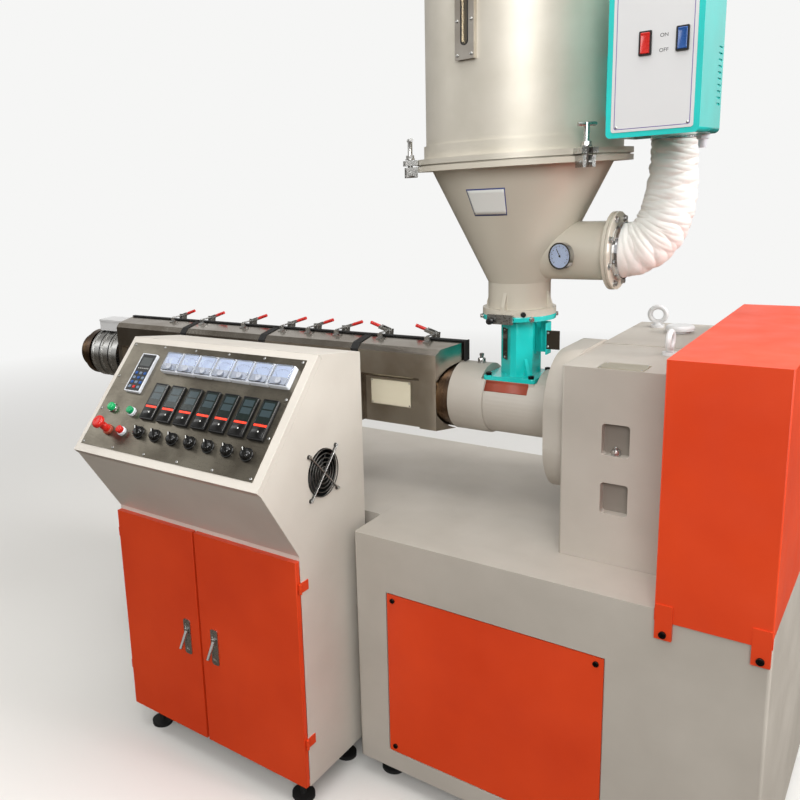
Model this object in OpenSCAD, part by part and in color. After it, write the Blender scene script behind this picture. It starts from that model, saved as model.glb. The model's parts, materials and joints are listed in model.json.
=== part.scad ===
// Single-screw plastic extruder with a hopper dryer and a free-standing control cabinet.
// The machine stands on the floor plane z = 0. x runs along the screw, from the die end
// to the drive end, and y runs from the operator's side to the far side.
// Lengths are in millimetres.

/* [Machine base] */
// Length of the wide rear base under the drive
base_l = 1030; // [800:10:1400]
// Depth of the base from the operator's side to the far side
base_d = 900; // [700:10:1200]
// Height of the base top above the floor
base_h = 784; // [600:1:1000]
// Length of the front base under the barrel
front_l = 1130; // [1000:10:2400]
// How far the front base's face stands back from the rear base's face
front_setback = 150; // [0:5:300]
// Height of the levelling feet
foot_h = 60; // [30:5:120]
// Corner radius of the bent sheet
bend_r = 8; // [2:1:20]
// Width of the removable orange panel
panel_w = 592; // [300:1:800]
// Height of the removable orange panel
panel_h = 500; // [300:1:650]
// Distance from the base's left end to the orange panel
panel_x = 103; // [50:1:300]
// Height of the orange panel's top edge
panel_top = 620; // [400:1:740]

/* [Screw line] */
// Height of the screw axis
axis_z = 1113; // [900:1:1300]
// Distance of the screw axis from the operator's face of the base
axis_y = 410; // [300:1:600]
// Radius of the barrel tube
barrel_r = 62; // [40:1:90]
// Radius of the feed housing
feed_r = 97.5; // [70:0.5:140]
// Length of the feed housing between its flange and the bearing housing
feed_l = 219; // [180:1:300]
// Radius of the flange where the barrel bolts to the feed housing
flange_r = 103; // [80:1:150]
// Thickness of the barrel flange
flange_t = 109; // [40:1:140]
// Length of the barrel from the feed housing to the die adapter
barrel_l = 1657; // [1400:1:2400]
// Length of the die adapter
die_l = 80; // [60:1:120]

/* [Barrel covers] */
// Half width of the covers
cover_w = 95; // [80:1:160]
// Height of the covers' ridge above the screw axis
cover_up = 162; // [120:1:220]
// Depth of the covers' lower edge below the screw axis
cover_down = 100; // [80:1:180]
// Length of the first cover at its sides
cover_first = 284; // [240:1:320]
// Length of each further cover
cover_l = 381; // [300:1:390]
// How far the first cover's ridge reaches past its sides
cover_nose = 52; // [20:1:70]
// Depth of the panel that is sunk into each cover
cover_recess = 14; // [6:1:20]
// Sheet thickness of the covers
cover_t = 2; // [1:0.5:4]

/* [Drive] */
// Length of the gearbox along the screw
gear_l = 274; // [200:1:400]
// Gap between the gearbox and the belt guard
gear_gap = 4; // [1:1:40]
// Operator's face of the gearbox
gear_y = 167; // [100:1:250]
// Depth of the gearbox
gear_d = 690; // [400:1:750]
// Height of the gearbox top above the floor
gear_top = 1285; // [1150:1:1450]
// Thickness of the bearing housing in front of the gearbox
boss_l = 58; // [30:1:90]
// Length of the belt guard
guard_l = 229; // [150:1:350]
// Depth of the belt guard
guard_d = 833; // [600:1:900]
// Height of the belt guard's top above the floor
guard_top = 1357; // [1200:1:1500]
// Sheet thickness of the belt guard
guard_t = 3; // [2:0.5:5]

/* [Hopper dryer] */
// Distance of the hopper's axis from the bearing housing
hopper_back = 153; // [110:1:170]
// Height of the stand under the hopper
stand_h = 188; // [160:1:260]
// Radius of the throat that the pellets fall through
throat_r = 22; // [15:1:30]
// Radius of the hopper's barrel
hopper_r = 252; // [180:1:350]
// Height of the split flange between cone and barrel
split_z = 1800; // [1600:1:2000]
// Height of the hopper's barrel
hopper_h = 600; // [400:10:900]
// How far the split flange stands out from the barrel
split_rim = 30; // [20:1:50]
// Radius of the neck below the cone
neck_r = 84; // [60:1:110]
// Sheet thickness of the hopper
hopper_t = 2; // [1:0.5:5]
// Radius of the hot air duct
duct_r = 77; // [50:1:82]
// Radius of the hose where it leaves the duct
hose_r0 = 72; // [50:1:80]
// Radius of the hose and tube at the heater
heater_r = 52; // [40:1:60]
// Width of the dryer's control box
box_w = 195; // [150:1:260]
// Depth of the dryer's control box
box_d = 200; // [120:1:260]
// Height of the dryer's control box
box_h = 400; // [300:1:500]

/* [Control cabinet] */
// Width of the cabinet
cab_w = 718; // [700:1:900]
// Depth of the cabinet's lower part
cab_d = 343; // [250:1:450]
// Gap between the cabinet and the rear base
cab_gap = 23; // [20:1:200]
// How far the cabinet's back stands behind the base's face
cab_back = 96; // [0:1:140]
// Height of the cabinet's underside
cab_z = 85; // [50:1:150]
// Height of the fold above the cabinet's doors
cab_door_z = 789; // [600:1:900]
// Height of the console's front lip
lip_z = 1021; // [850:1:1100]
// How far the console's lip hangs out in front of the lower part
lip_out = 142; // [80:1:250]
// Height of the console's rear edge
crest_z = 1318; // [1150:1:1450]
// Distance of the console's rear edge in front of the cabinet's back
crest_in = 201; // [100:1:300]
// Fall of the roof from the console to the back
roof_fall = 29; // [0:1:60]
// Depth of the folded rim of the console's lid
lid_rim = 20; // [10:1:30]
// Sheet thickness of the cabinet
cab_t = 2; // [1:0.5:4]
// Thickness of the folded doors
door_t = 18; // [12:1:30]
// Width of the left door
door_left_w = 330; // [250:1:450]
// Gap between the two doors
door_gap = 8; // [4:1:16]
// Radius of the fan's opening
fan_r = 68; // [50:1:80]
// Distance between the controllers' centres
ctrl_pitch = 68.7; // [50:0.1:75]

/* [Hidden] */
$fn = 64;
// clearance between pieces that seat on each other
seat = 0.3;
// overlap of the shapes that a piece is joined from, and overshoot of its cuts
lap = 1;

grey = [0.74, 0.71, 0.67];
off_white = [0.89, 0.87, 0.83];
orange = [0.89, 0.31, 0.16];
steel = [0.70, 0.70, 0.70];
teal = [0.11, 0.62, 0.58];
cream = [0.81, 0.78, 0.73];
black = [0.10, 0.10, 0.10];
white = [0.93, 0.91, 0.88];
bronze = [0.45, 0.36, 0.24];
red = [0.80, 0.12, 0.10];

// the screw line, worked out from the drive end towards the die
guard_x = base_l-guard_l;
gear_x = guard_x-gear_gap-gear_l;
boss_x = gear_x-boss_l;
hopper_x = boss_x-hopper_back;
feed_x = boss_x-feed_l;
flange_x = feed_x-flange_t;
barrel_x = flange_x-barrel_l;
die_x = barrel_x-die_l;

// the cabinet's faces
cab_x = -cab_gap-cab_w;
cab_face = cab_back-cab_d;
lip_y = cab_face-lip_out;

// the machine's own box, which the frame is centred on
x_min = die_x;
x_max = base_l;
y_min = lip_y;
y_max = base_d;
mid_x = (x_min+x_max)/2;
mid_y = (y_min+y_max)/2;

// puts a shape that is drawn from the base's corner into the machine's frame
module placed() {
    translate([-mid_x, -mid_y, 0]) children();
}

// a block whose four upright edges are bent round
module bent_block(w, d, h, r) {
    translate([r, 0, 0]) cube([w-2*r, d, h]);
    translate([0, r, 0]) cube([w, d-2*r, h]);
    for (x = [r, w-r], y = [r, d-r])
        translate([x, y, 0]) cylinder(r=r, h=h);
}

// a bar with a rounded outline, lying across y
module rounded_bar(w, d, h, r) {
    translate([0, d, 0]) rotate([90, 0, 0]) bent_block(w, h, d, r);
}

// a cylinder that lies along x
module along_x(r, l) {
    rotate([0, 90, 0]) cylinder(r=r, h=l);
}

// a turned piece whose axis lies along x, from [radius, distance] points
module turned_x(profile) {
    rotate([0, 90, 0]) rotate_extrude() polygon(profile);
}

// points of a round-shouldered disc from height z0 to z1 with edge radius e
function domed(r, z0, z1, e) = concat([[0, z0], [r, z0], [r, z1-e]],
    [for (a = [15:15:90]) [r-e+e*cos(a), z1-e+e*sin(a)]], [[0, z1]]);

panel_recess = 6;
panel_edge = 3;

module base_rear() {
    color(grey) placed() difference() {
        translate([0, 0, foot_h]) bent_block(base_l, base_d, base_h-foot_h, bend_r);
        for (y = [-lap, base_d-panel_recess])
            translate([panel_x-panel_edge, y, panel_top-panel_h-panel_edge])
                cube([panel_w+2*panel_edge, panel_recess+lap, panel_h+2*panel_edge]);
    }
}

module base_front() {
    color(grey) placed() translate([-front_l, front_setback, foot_h])
        bent_block(front_l-seat, base_d-front_setback, base_h-foot_h, bend_r);
}

module access_panels() {
    panel_t = 5;
    corner = 3;
    color(orange) placed()
        for (y = [panel_recess-seat-panel_t, base_d-panel_recess+seat])
            translate([panel_x, y, panel_top-panel_h])
                rounded_bar(panel_w, panel_t, panel_h, corner);
}

// one foot: a pad, a stem and a lock nut
module levelling_foot(h) {
    pad_h = 12;
    nut_h = 12;
    nut_gap = 6;
    cylinder(r=34, h=pad_h);
    translate([0, 0, pad_h-lap]) cylinder(r=10, h=h-pad_h+lap-seat);
    translate([0, 0, h-nut_gap-nut_h]) cylinder(r=17, h=nut_h, $fn=6);
}

module feet() {
    inset = 70;
    cab_inset = 60;
    color(black) placed() {
        for (x = [inset, base_l/2, base_l-inset], y = [inset, base_d-inset])
            translate([x, y, 0]) levelling_foot(foot_h);
        for (x = [-front_l+inset, -front_l/2, -inset*2], y = [front_setback+inset, base_d-inset])
            translate([x, y, 0]) levelling_foot(foot_h);
        for (x = [cab_inset, cab_w-cab_inset], y = [cab_inset, cab_d-cab_inset])
            translate([cab_x+x, cab_face+y, 0]) levelling_foot(cab_z);
    }
}

// the guard stands a little in front of the base and laps over its edge
guard_y = -7;
guard_lap = 23;

module belt_guard() {
    tab_w = 36;
    tab_low = 66;
    tab_h = 84;
    tab_t = 3;
    tab_in = 2;
    color(orange) placed() difference() {
        union() {
            translate([guard_x, guard_y, base_h+seat])
                bent_block(guard_l, guard_d, guard_top-base_h-seat, guard_t);
            translate([guard_x, guard_y, base_h-guard_lap])
                cube([guard_l, -guard_y-seat, guard_lap+2*guard_t]);
            for (x = [guard_x+tab_in, base_l-tab_w-tab_in]) {
                translate([x, guard_y-tab_t, base_h-tab_low])
                    cube([tab_w, tab_t+lap, tab_h]);
                translate([x, guard_y, base_h-tab_low])
                    cube([tab_w, -guard_y-seat, tab_low-guard_lap+lap]);
            }
        }
        translate([guard_x+guard_t, guard_y+guard_t, base_h-lap])
            cube([guard_l-2*guard_t, guard_d-2*guard_t, guard_top-base_h-guard_t+lap]);
    }
}

// the gearbox has a machined step along its top, towards the far side
gear_step = 2;
gear_step_y = 313;

// a pocket with rounded corners, sunk into the gearbox face
pocket_drops = [217, 368];

module pocket(z) {
    pocket_in = 100;
    pocket_w = 65;
    pocket_h = 81;
    deep = 25;
    corner = 8;
    translate([gear_x+pocket_in, gear_y-lap, z]) rounded_bar(pocket_w, deep+lap, pocket_h, corner);
}

module gearbox() {
    corner = 6;
    color(grey) placed() difference() {
        union() {
            translate([gear_x, gear_y, base_h+seat])
                bent_block(gear_l, gear_d, gear_top-base_h-seat, corner);
            translate([gear_x+lap, gear_y+gear_step_y, gear_top-lap])
                cube([gear_l-2*lap, gear_d-gear_step_y-corner, gear_step+lap]);
        }
        for (drop = pocket_drops) pocket(gear_top-drop);
    }
}

// the bearing housing that takes the screw's thrust, a block with round corners
module output_housing() {
    half_w = 212;
    half_h = 190;
    corner = 140;
    drop = 10;
    color(grey) placed()
        translate([gear_x-seat, axis_y, axis_z-drop]) rotate([0, -90, 0])
            translate([-half_h, -half_w, 0]) bent_block(2*half_h, 2*half_w, boss_l-seat, corner);
}

// a collared eye bolt whose ring is turned about the upright
module eye_bolt(turn) {
    collar_h = 8;
    ring_r = 22;
    bar_r = 7;
    rotate([0, 0, turn]) {
        cylinder(r=18, h=collar_h);
        translate([0, 0, collar_h-lap]) cylinder(r=9, h=collar_h);
        translate([0, 0, collar_h+ring_r+bar_r+lap]) rotate([90, 0, 0])
            rotate_extrude() translate([ring_r, 0]) circle(r=bar_r, $fn=24);
    }
}

module lifting_eyes() {
    color(white) placed() {
        translate([gear_x+67, gear_y+603, gear_top+gear_step+seat]) eye_bolt(0);
        translate([gear_x+193, gear_y+219, gear_top+seat]) eye_bolt(90);
    }
}

module breather() {
    stem_h = 9;
    color(white) placed()
        translate([gear_x+144, gear_y+533, gear_top+gear_step+seat]) {
            cylinder(r=26, h=stem_h);
            rotate_extrude() polygon(domed(38, stem_h-lap, 22, 9));
        }
}

// heights of the hopper's foot, worked out from the screw axis
plate_t = 12;
plate_half = 75;
plate_top = axis_z+83;
stand_top = axis_z+71+stand_h;
stand_flange_t = 14;
neck_rim = 15;

module bare_plates() {
    plate = 1.5;
    top_w = 106;
    top_d = 66;
    top_in = 83;
    top_back = 5;
    side_w = 144;
    side_h = 83;
    side_in = 34;
    side_drop = 43;
    side_x = cover_x[0]-cover_margin-side_in-side_w;
    side_y = axis_y-cover_w+cover_recess-seat-plate;
    color(cream) placed() {
        translate([gear_x+top_in, gear_y+top_back, gear_top+seat]) cube([top_w, top_d, plate]);
        translate([side_x, side_y, axis_z-side_drop]) cube([side_w, plate, side_h]);
    }
}

module feed_housing() {
    bore = 33;
    edge = 2;
    end = feed_l+flange_t-seat;
    block_h = plate_top-plate_t-axis_z-seat;
    color(grey) placed() difference() {
        union() {
            translate([flange_x, axis_y, axis_z]) turned_x([[bore, 0], [flange_r-edge, 0],
                [flange_r, edge], [flange_r, flange_t-edge], [flange_r-edge, flange_t],
                [feed_r, flange_t], [feed_r, end], [bore, end]]);
            difference() {
                translate([hopper_x-plate_half, axis_y-plate_half, axis_z])
                    cube([2*plate_half, 2*plate_half, block_h]);
                translate([flange_x, axis_y, axis_z]) along_x(feed_r-lap, feed_l+flange_t);
            }
        }
        translate([hopper_x-plate_half-5, axis_y-feed_r, plate_top-plate_t-seat])
            cube([2*plate_half+10, 2*feed_r, feed_r]);
        translate([hopper_x, axis_y, axis_z]) cylinder(r=throat_r, h=feed_r);
    }
}

// the barrel tube and its own flange, which bolts to the feed housing
module barrel() {
    flange_back = 37;
    color(bronze) placed() translate([0, axis_y, axis_z]) {
        translate([barrel_x, 0, 0]) along_x(barrel_r, barrel_l-seat);
        translate([flange_x-flange_back, 0, 0]) along_x(flange_r-3, flange_back-seat);
    }
}

// joints between the covers, from the feed end to the die end
cover_side_x = flange_x-39;
cover_x = [cover_side_x, for (i = [0:3]) cover_side_x-cover_first-i*cover_l];
cover_gap = 6;
cover_shoulder = 14;
cover_corner = 16;
cover_margin = 56;
cover_edge = 20;
cover_hem = 52;

// outline of both halves across the screw, grown outward by d and open at the bottom
function cover_outline(d, bottom) = let (w = cover_w, top = cover_up-cover_shoulder)
    let (side = [[w-cover_corner+0.4*d, top+d], [w+d, top-cover_corner+0.4*d], [w+d, bottom]])
    concat([[0, cover_up+d]], side, [for (i = [2:-1:0]) [-side[i][0], side[i][1]]]);

// a cover's block, its walls moved in by t, from x1 to x2 at the side and further at the ridge
module cover_block(x1, x2, nose, t, y0) {
    end = t*sqrt(1+pow(nose/cover_w, 2));
    intersection() {
        translate([x1+t, 0, 0]) rotate([90, 0, 90]) linear_extrude(height=x2+nose-x1)
            polygon(cover_outline(-t, -cover_down+t));
        translate([0, 0, -cover_down-lap]) linear_extrude(height=cover_up+cover_down+2*lap)
            polygon([[x1+t, y0], [x1+t, cover_w+lap], [x2-end, cover_w+lap], [x2-end, cover_w],
                [x2+nose*(1-y0/cover_w)-end, y0]]);
    }
}

// the panel that is sunk into a cover's side, with a sloped upper edge, grown by t
module cover_sunk(x1, x2, t) {
    floor_y = cover_w-cover_recess-t;
    translate([x1-t, 0, 0]) rotate([90, 0, 90]) linear_extrude(height=x2-x1+2*t)
        polygon([[floor_y, -cover_down-lap], [cover_w+lap, -cover_down-lap],
            [cover_w+lap, cover_hem+6+t], [floor_y, cover_hem-6+t]]);
}

// one half of a cover, a sheet bent over the barrel with closed ends
module cover_half(x1, x2, nose) {
    slit = 0.5;
    difference() {
        cover_block(x1, x2, nose, 0, slit);
        difference() {
            cover_block(x1, x2, nose, cover_t, -lap);
            cover_sunk(x1+cover_edge, x2-cover_margin, cover_t);
        }
        cover_sunk(x1+cover_edge, x2-cover_margin, 0);
        translate([x1-lap, 0, 0]) along_x(barrel_r+seat, x2-x1+nose+2*lap);
        if (nose > 0) translate([x2+lap, 0, 0]) along_x(flange_r+2, nose+lap);
    }
}

module cover_row() {
    for (i = [0:3])
        cover_half(cover_x[i+1]+cover_gap/2, cover_x[i]-(i == 0 ? 0 : cover_gap/2),
            i == 0 ? cover_nose : 0);
}

module covers_near() {
    color(steel) placed() translate([0, axis_y, axis_z]) mirror([0, 1, 0]) cover_row();
}

module covers_far() {
    color(steel) placed() translate([0, axis_y, axis_z]) cover_row();
}

// rubber bands over the joints of the covers, with a strip along the ridge and its end
module cover_seals() {
    band_w = 26;
    band_t = 2;
    strip_w = 14;
    strip_t = 4;
    nose_x = cover_x[0]+cover_nose;
    end_low = flange_r+2;
    color(black) placed() translate([0, axis_y, axis_z]) {
        for (i = [1:3])
            translate([cover_x[i]-band_w/2, 0, 0]) rotate([90, 0, 90])
                linear_extrude(height=band_w) difference() {
                    polygon(cover_outline(seat+band_t, -cover_down));
                    polygon(cover_outline(seat, -cover_down-lap));
                }
        translate([cover_x[4]+cover_gap, -strip_w/2, cover_up+seat])
            cube([nose_x+seat-cover_x[4]-cover_gap+lap, strip_w, strip_t]);
        translate([nose_x+seat, -strip_w, end_low])
            cube([strip_t, 2*strip_w, cover_up+seat+strip_t-end_low]);
    }
}

// fall of the covers' top from the ridge to the shoulder
cover_slope = atan2(cover_shoulder, cover_w-cover_corner);
// distances of the clamps from the right end of their cover
clamp_at = [[64, 230], [114, 230, 344], [140, 347], [120]];
clamp_pin_y = 30;
clamp_pin_z = 12;
lever_l = 34;
lever_rise = 18;

// places a clamp part on the ridge at each clamp; the first cover's levers point the other way
module at_clamps() {
    for (i = [0:3], d = clamp_at[i])
        translate([cover_x[i]-d, axis_y, axis_z+cover_up]) mirror([i == 0 ? 1 : 0, 0, 0])
            children();
}

// one toggle clamp: keeper on the near half, body on the far half, draw rod and lever
module toggle_clamp() {
    foot_t = 3;
    cheek_t = 3;
    rotate([cover_slope, 0, 0]) translate([0, 0, seat]) {
        translate([-9, -38, 0]) cube([18, 18, foot_t]);
        translate([-9, -26, 0]) cube([18, 4, 15]);
    }
    rotate([-cover_slope, 0, 0]) translate([0, 0, seat]) {
        translate([-14, 14, 0]) cube([28, 32, foot_t]);
        for (x = [-9, 6]) translate([x, 18, 0]) cube([cheek_t, 24, 22]);
    }
    translate([0, clamp_pin_y+4, clamp_pin_z]) rotate([90, 0, 0]) cylinder(r=2.5, h=62);
    translate([-11, clamp_pin_y, clamp_pin_z]) along_x(3, 22);
    translate([0, clamp_pin_y, clamp_pin_z]) rotate([0, -lever_rise, 0])
        for (y = [-12, 9]) translate([0, y, -5]) cube([lever_l, cheek_t, 10]);
    translate([0, clamp_pin_y, clamp_pin_z]) rotate([0, -lever_rise, 0])
        translate([lever_l-8, -12, -4]) cube([8, 24, 8]);
}

module toggle_clamps() {
    color(steel) placed() at_clamps() toggle_clamp();
}

module clamp_grips() {
    color(red) placed() at_clamps()
        translate([0, clamp_pin_y, clamp_pin_z]) rotate([0, -lever_rise, 0])
            translate([lever_l+seat, 0, 0]) along_x(5.5, 36);
}

// one pedestal: foot plate, tapered web and the saddle that the covers stand on
module pedestal() {
    foot_t = 14;
    web_t = 24;
    saddle_t = 12;
    h = axis_z-cover_down-base_h-2*seat;
    translate([-60, -110, 0]) cube([120, 220, foot_t]);
    translate([-web_t/2, 0, 0]) rotate([90, 0, 90]) linear_extrude(height=web_t)
        polygon([[-100, foot_t-lap], [100, foot_t-lap], [60, h-saddle_t+lap], [-60, h-saddle_t+lap]]);
    translate([-45, -75, h-saddle_t]) cube([90, 150, saddle_t]);
}

module barrel_supports() {
    color(grey) placed()
        for (x = [-front_l+90, -front_l+510])
            translate([x, axis_y, base_h+seat]) pedestal();
}

module die_adapter() {
    rim_l = 35;
    edge = 3;
    color(bronze) placed() translate([die_x, axis_y, axis_z]) turned_x([[0, 0], [69, 0],
        [72, edge], [72, die_l-rim_l], [92, die_l-rim_l], [95, die_l-rim_l+edge],
        [95, die_l-seat], [0, die_l-seat]]);
}

// heater bands with raised edges, clamped round the barrel beyond the covers
heater_x0 = 20;
band_pitch = 54;
band_r = 100;

module die_heater() {
    w = 48;
    rib = 8;
    low = band_r-4;
    color(steel) placed()
        for (i = [0:2])
            translate([barrel_x+heater_x0+i*band_pitch, axis_y, axis_z])
                turned_x([[barrel_r+seat, 0], [band_r, 0], [band_r, rib], [low, rib],
                    [low, w-rib], [band_r, w-rib], [band_r, w], [barrel_r+seat, w]]);
}

module terminal_boxes() {
    w = 160;
    d = 84;
    rim = 2;
    color(white) placed()
        translate([barrel_x+heater_x0, axis_y-d/2, axis_z+band_r+seat]) {
            translate([rim, rim, 0]) bent_block(w-2*rim, d-2*rim, 40, 6);
            translate([0, 0, 38]) bent_block(w, d, 8, 8);
        }
}

// the plan of the stand's eight-sided column about the hopper's axis
column = [[-49, -7], [-1.5, -55], [15, -55], [49, -21], [49, 42], [36, 55], [-36, 55], [-49, 42]];
gate_l = -49;
gate_r = 24;
gate_t = 4.2;
gate_z = stand_top-8.6;

module hopper_stand() {
    clear = 0.8;
    web = 8;
    color(teal) placed() translate([hopper_x, axis_y, 0]) difference() {
        union() {
            translate([-plate_half, -plate_half, plate_top-plate_t])
                bent_block(2*plate_half, 2*plate_half, plate_t, 10);
            translate([0, 0, plate_top-lap])
                linear_extrude(height=stand_top-stand_flange_t-plate_top+2*lap) polygon(column);
            translate([0, 0, stand_top-stand_flange_t])
                cylinder(r=neck_r+neck_rim, h=stand_flange_t);
            rotate([0, 0, -45]) translate([0, web/2, plate_top]) rotate([90, 0, 0])
                linear_extrude(height=web) polygon([[48, -lap], [76, -lap], [76, 5], [49, 50], [48, 50]]);
        }
        translate([0, 0, plate_top-plate_t-lap]) cylinder(r=throat_r, h=stand_h+plate_t+2*lap);
        translate([gate_l-clear, -neck_r-neck_rim-lap, gate_z-seat-0.1])
            cube([gate_r-gate_l+2*clear, neck_r+neck_rim+lap+50, gate_t+2*seat+0.2]);
    }
}

// the sight strip on the column's front left face, and the clear flap beside the chute
chute_w = 32;
flap_out = 4;

module sight_strip() {
    strip_w = 30;
    strip_t = 2.5;
    strip_h = 90;
    strip_up = 44;
    strip_in = 19;
    flap_w = 36;
    flap_t = 3;
    flap_h = 53;
    flap_drop = 100;
    face = atan2(column[1][1]-column[0][1], column[1][0]-column[0][0]);
    color(black) placed() translate([hopper_x, axis_y, 0]) {
        translate([column[0][0], column[0][1], plate_top+strip_up]) rotate([0, 0, face])
            translate([strip_in, -seat-strip_t, 0]) bent_block(strip_w, strip_t, strip_h, 1);
        translate([column[4][0]+2*seat+chute_w, -flap_out, stand_top-flap_drop])
            cube([flap_w, flap_t, flap_h]);
    }
}

// the slide gate: a flat blade behind a front bar that is hollowed to the flange
module slide_gate() {
    front_y = -105;
    plate_y = front_y+4;
    plate_end = 48;
    bar_t = 11;
    bar_h = 27;
    bar_drop = 20;
    clear_r = neck_r+neck_rim+seat+0.2;
    color(steel) placed() translate([hopper_x, axis_y, 0]) {
        translate([gate_l, plate_y, gate_z]) cube([gate_r-gate_l, plate_end-plate_y, gate_t]);
        difference() {
            translate([gate_l, front_y, stand_top-bar_drop]) cube([gate_r-gate_l, bar_t, bar_h]);
            translate([0, 0, stand_top-bar_drop-lap]) cylinder(r=clear_r, h=bar_h+2*lap);
        }
    }
}

// a bent trough on the column's side, open to the front
module drain_chute() {
    sheet = 2;
    d = 40;
    h = 90;
    drop = 117;
    color(teal) placed() translate([hopper_x+column[4][0]+seat, axis_y-flap_out, stand_top-drop])
        difference() {
            bent_block(chute_w, d, h, 6);
            translate([sheet, -lap, -lap]) bent_block(chute_w-2*sheet, d-sheet+lap, h+2*lap, 5);
        }
}

// the hopper's cone, its neck, its lower split flange and the hot air duct
cone_low = stand_top+90;
cone_top = split_z-24;
cone_top_r = hopper_r-16;
flange_h = 14;
duct_z = stand_top+174;
duct_rim = 24;
duct_end = hopper_x+258;
duct_flange_t = 8;

module hopper_cone() {
    neck_flange_t = 18;
    web = 10;
    foot = stand_top+seat;
    color(cream) placed() difference() {
        union() {
            translate([hopper_x, axis_y, 0]) {
                translate([0, 0, foot]) cylinder(r=neck_r+neck_rim, h=neck_flange_t);
                translate([0, 0, foot+lap]) cylinder(r=neck_r, h=cone_low-foot);
                translate([0, 0, cone_low]) cylinder(r1=neck_r, r2=cone_top_r, h=cone_top-cone_low);
                translate([0, 0, cone_top-lap]) cylinder(r=hopper_r+split_rim, h=flange_h);
                for (a = [-94, -4, 86, 176]) rotate([0, 0, a])
                    translate([0, web/2, foot+neck_flange_t]) rotate([90, 0, 0])
                        linear_extrude(height=web) polygon([[neck_r-lap, -lap],
                            [neck_r+neck_rim-2, -lap], [neck_r+neck_rim-2, 8], [neck_r-lap, 50]]);
            }
            translate([hopper_x, axis_y, duct_z]) along_x(duct_r, duct_end-hopper_x-4);
            translate([duct_end-duct_flange_t, axis_y, duct_z])
                along_x(duct_r+duct_rim, duct_flange_t);
        }
        translate([hopper_x, axis_y, 0]) {
            translate([0, 0, foot-lap]) cylinder(r=neck_r-hopper_t, h=cone_low-foot+2*lap);
            translate([0, 0, cone_low])
                cylinder(r1=neck_r-hopper_t, r2=cone_top_r-hopper_t, h=cone_top-cone_low);
            translate([0, 0, cone_top-2*lap]) cylinder(r=cone_top_r-hopper_t, h=flange_h+2*lap);
        }
        translate([hopper_x, axis_y, duct_z]) along_x(duct_r-hopper_t, duct_end);
    }
}

// the barrel stands on a gasket that shows as a dark slot between the two flanges
module hopper_barrel() {
    low = cone_top-lap+flange_h+seat;
    gasket = 4;
    collar = 36;
    top_rim = 22;
    color(cream) placed() translate([hopper_x, axis_y, 0]) difference() {
        union() {
            translate([0, 0, low]) cylinder(r=hopper_r+split_rim-8, h=gasket);
            translate([0, 0, low+gasket-0.1]) cylinder(r=hopper_r+split_rim, h=flange_h);
            translate([0, 0, low+gasket+flange_h-lap]) cylinder(r=hopper_r+6, h=collar);
            translate([0, 0, low+lap]) cylinder(r=hopper_r, h=cone_top+hopper_h-low-lap);
            translate([0, 0, cone_top+hopper_h-12]) cylinder(r=hopper_r+top_rim, h=12);
        }
        translate([0, 0, cone_top]) cylinder(r=hopper_r-hopper_t, h=hopper_h+lap);
    }
}

// a shallow dished lid with a filter cap in its middle
module hopper_lid() {
    rim_r = hopper_r+22;
    color(cream) placed() translate([hopper_x, axis_y, cone_top+hopper_h+seat]) rotate_extrude()
        polygon(concat([[0, 0], [rim_r, 0], [rim_r, 10], [rim_r-16, 12], [rim_r-40, 26], [60, 38]],
            [[60, 92]], [for (a = [15:15:90]) [50+10*cos(a), 92+10*sin(a)]], [[0, 102]]));
}

// one swing bolt: forked lugs below, slotted ear above, bolt with a cross bar
module swing_clamp() {
    bolt_x = hopper_r+split_rim+18;
    low = cone_top-15;
    ear_z = cone_top-lap+flange_h+seat+4;
    for (y = [-17, 8]) translate([hopper_r+split_rim+seat, y, low]) difference() {
        cube([31, 9, 28]);
        translate([24, -lap, -20]) rotate([0, 45, 0]) cube([20, 11, 20]);
    }
    translate([bolt_x, 19, low+12]) rotate([90, 0, 0]) cylinder(r=5, h=38);
    translate([bolt_x, 0, low+6]) cylinder(r=6.5, h=98);
    translate([bolt_x, 0, ear_z+flange_h+2]) cylinder(r=13, h=3);
    translate([bolt_x, 0, ear_z+flange_h+4]) cylinder(r=11, h=10, $fn=6);
    translate([bolt_x, 24, low+100]) rotate([90, 0, 0]) cylinder(r=5, h=48);
    translate([0, 0, ear_z]) difference() {
        translate([hopper_r+split_rim+seat, -22, 0]) cube([34, 44, flange_h]);
        translate([bolt_x-8, -8, -lap]) cube([40, 16, flange_h+2*lap]);
    }
}

module hopper_clamps() {
    color(steel) placed() translate([hopper_x, axis_y, 0])
        for (a = [-38, -142, 90]) rotate([0, 0, a]) swing_clamp();
}

// a round-ended slot or bar that stands up, w wide from z0 to z1, lying along x
module round_slot(w, z0, z1, d) {
    translate([0, -w/2, z0+w/2]) cube([d, w, z1-z0-w]);
    for (z = [z0+w/2, z1-w/2]) translate([0, 0, z]) along_x(w/2, d);
}

module level_window() {
    half_w = 27;
    long = 262;
    low = cone_top+262;
    high = low+long;
    thick = 12;
    slot_w = 16;
    slot_in = 36;
    turn = -98.5;
    color(steel) placed() translate([hopper_x, axis_y, 0]) rotate([0, 0, turn]) difference() {
        translate([hopper_r-8, -half_w, low]) cube([thick+8, 2*half_w, high-low]);
        translate([0, 0, low-lap]) cylinder(r=hopper_r+seat, h=high-low+2*lap, $fn=200);
        translate([hopper_r+4, 0, 0]) round_slot(slot_w, low+slot_in, high-slot_in, thick);
    }
}

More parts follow.
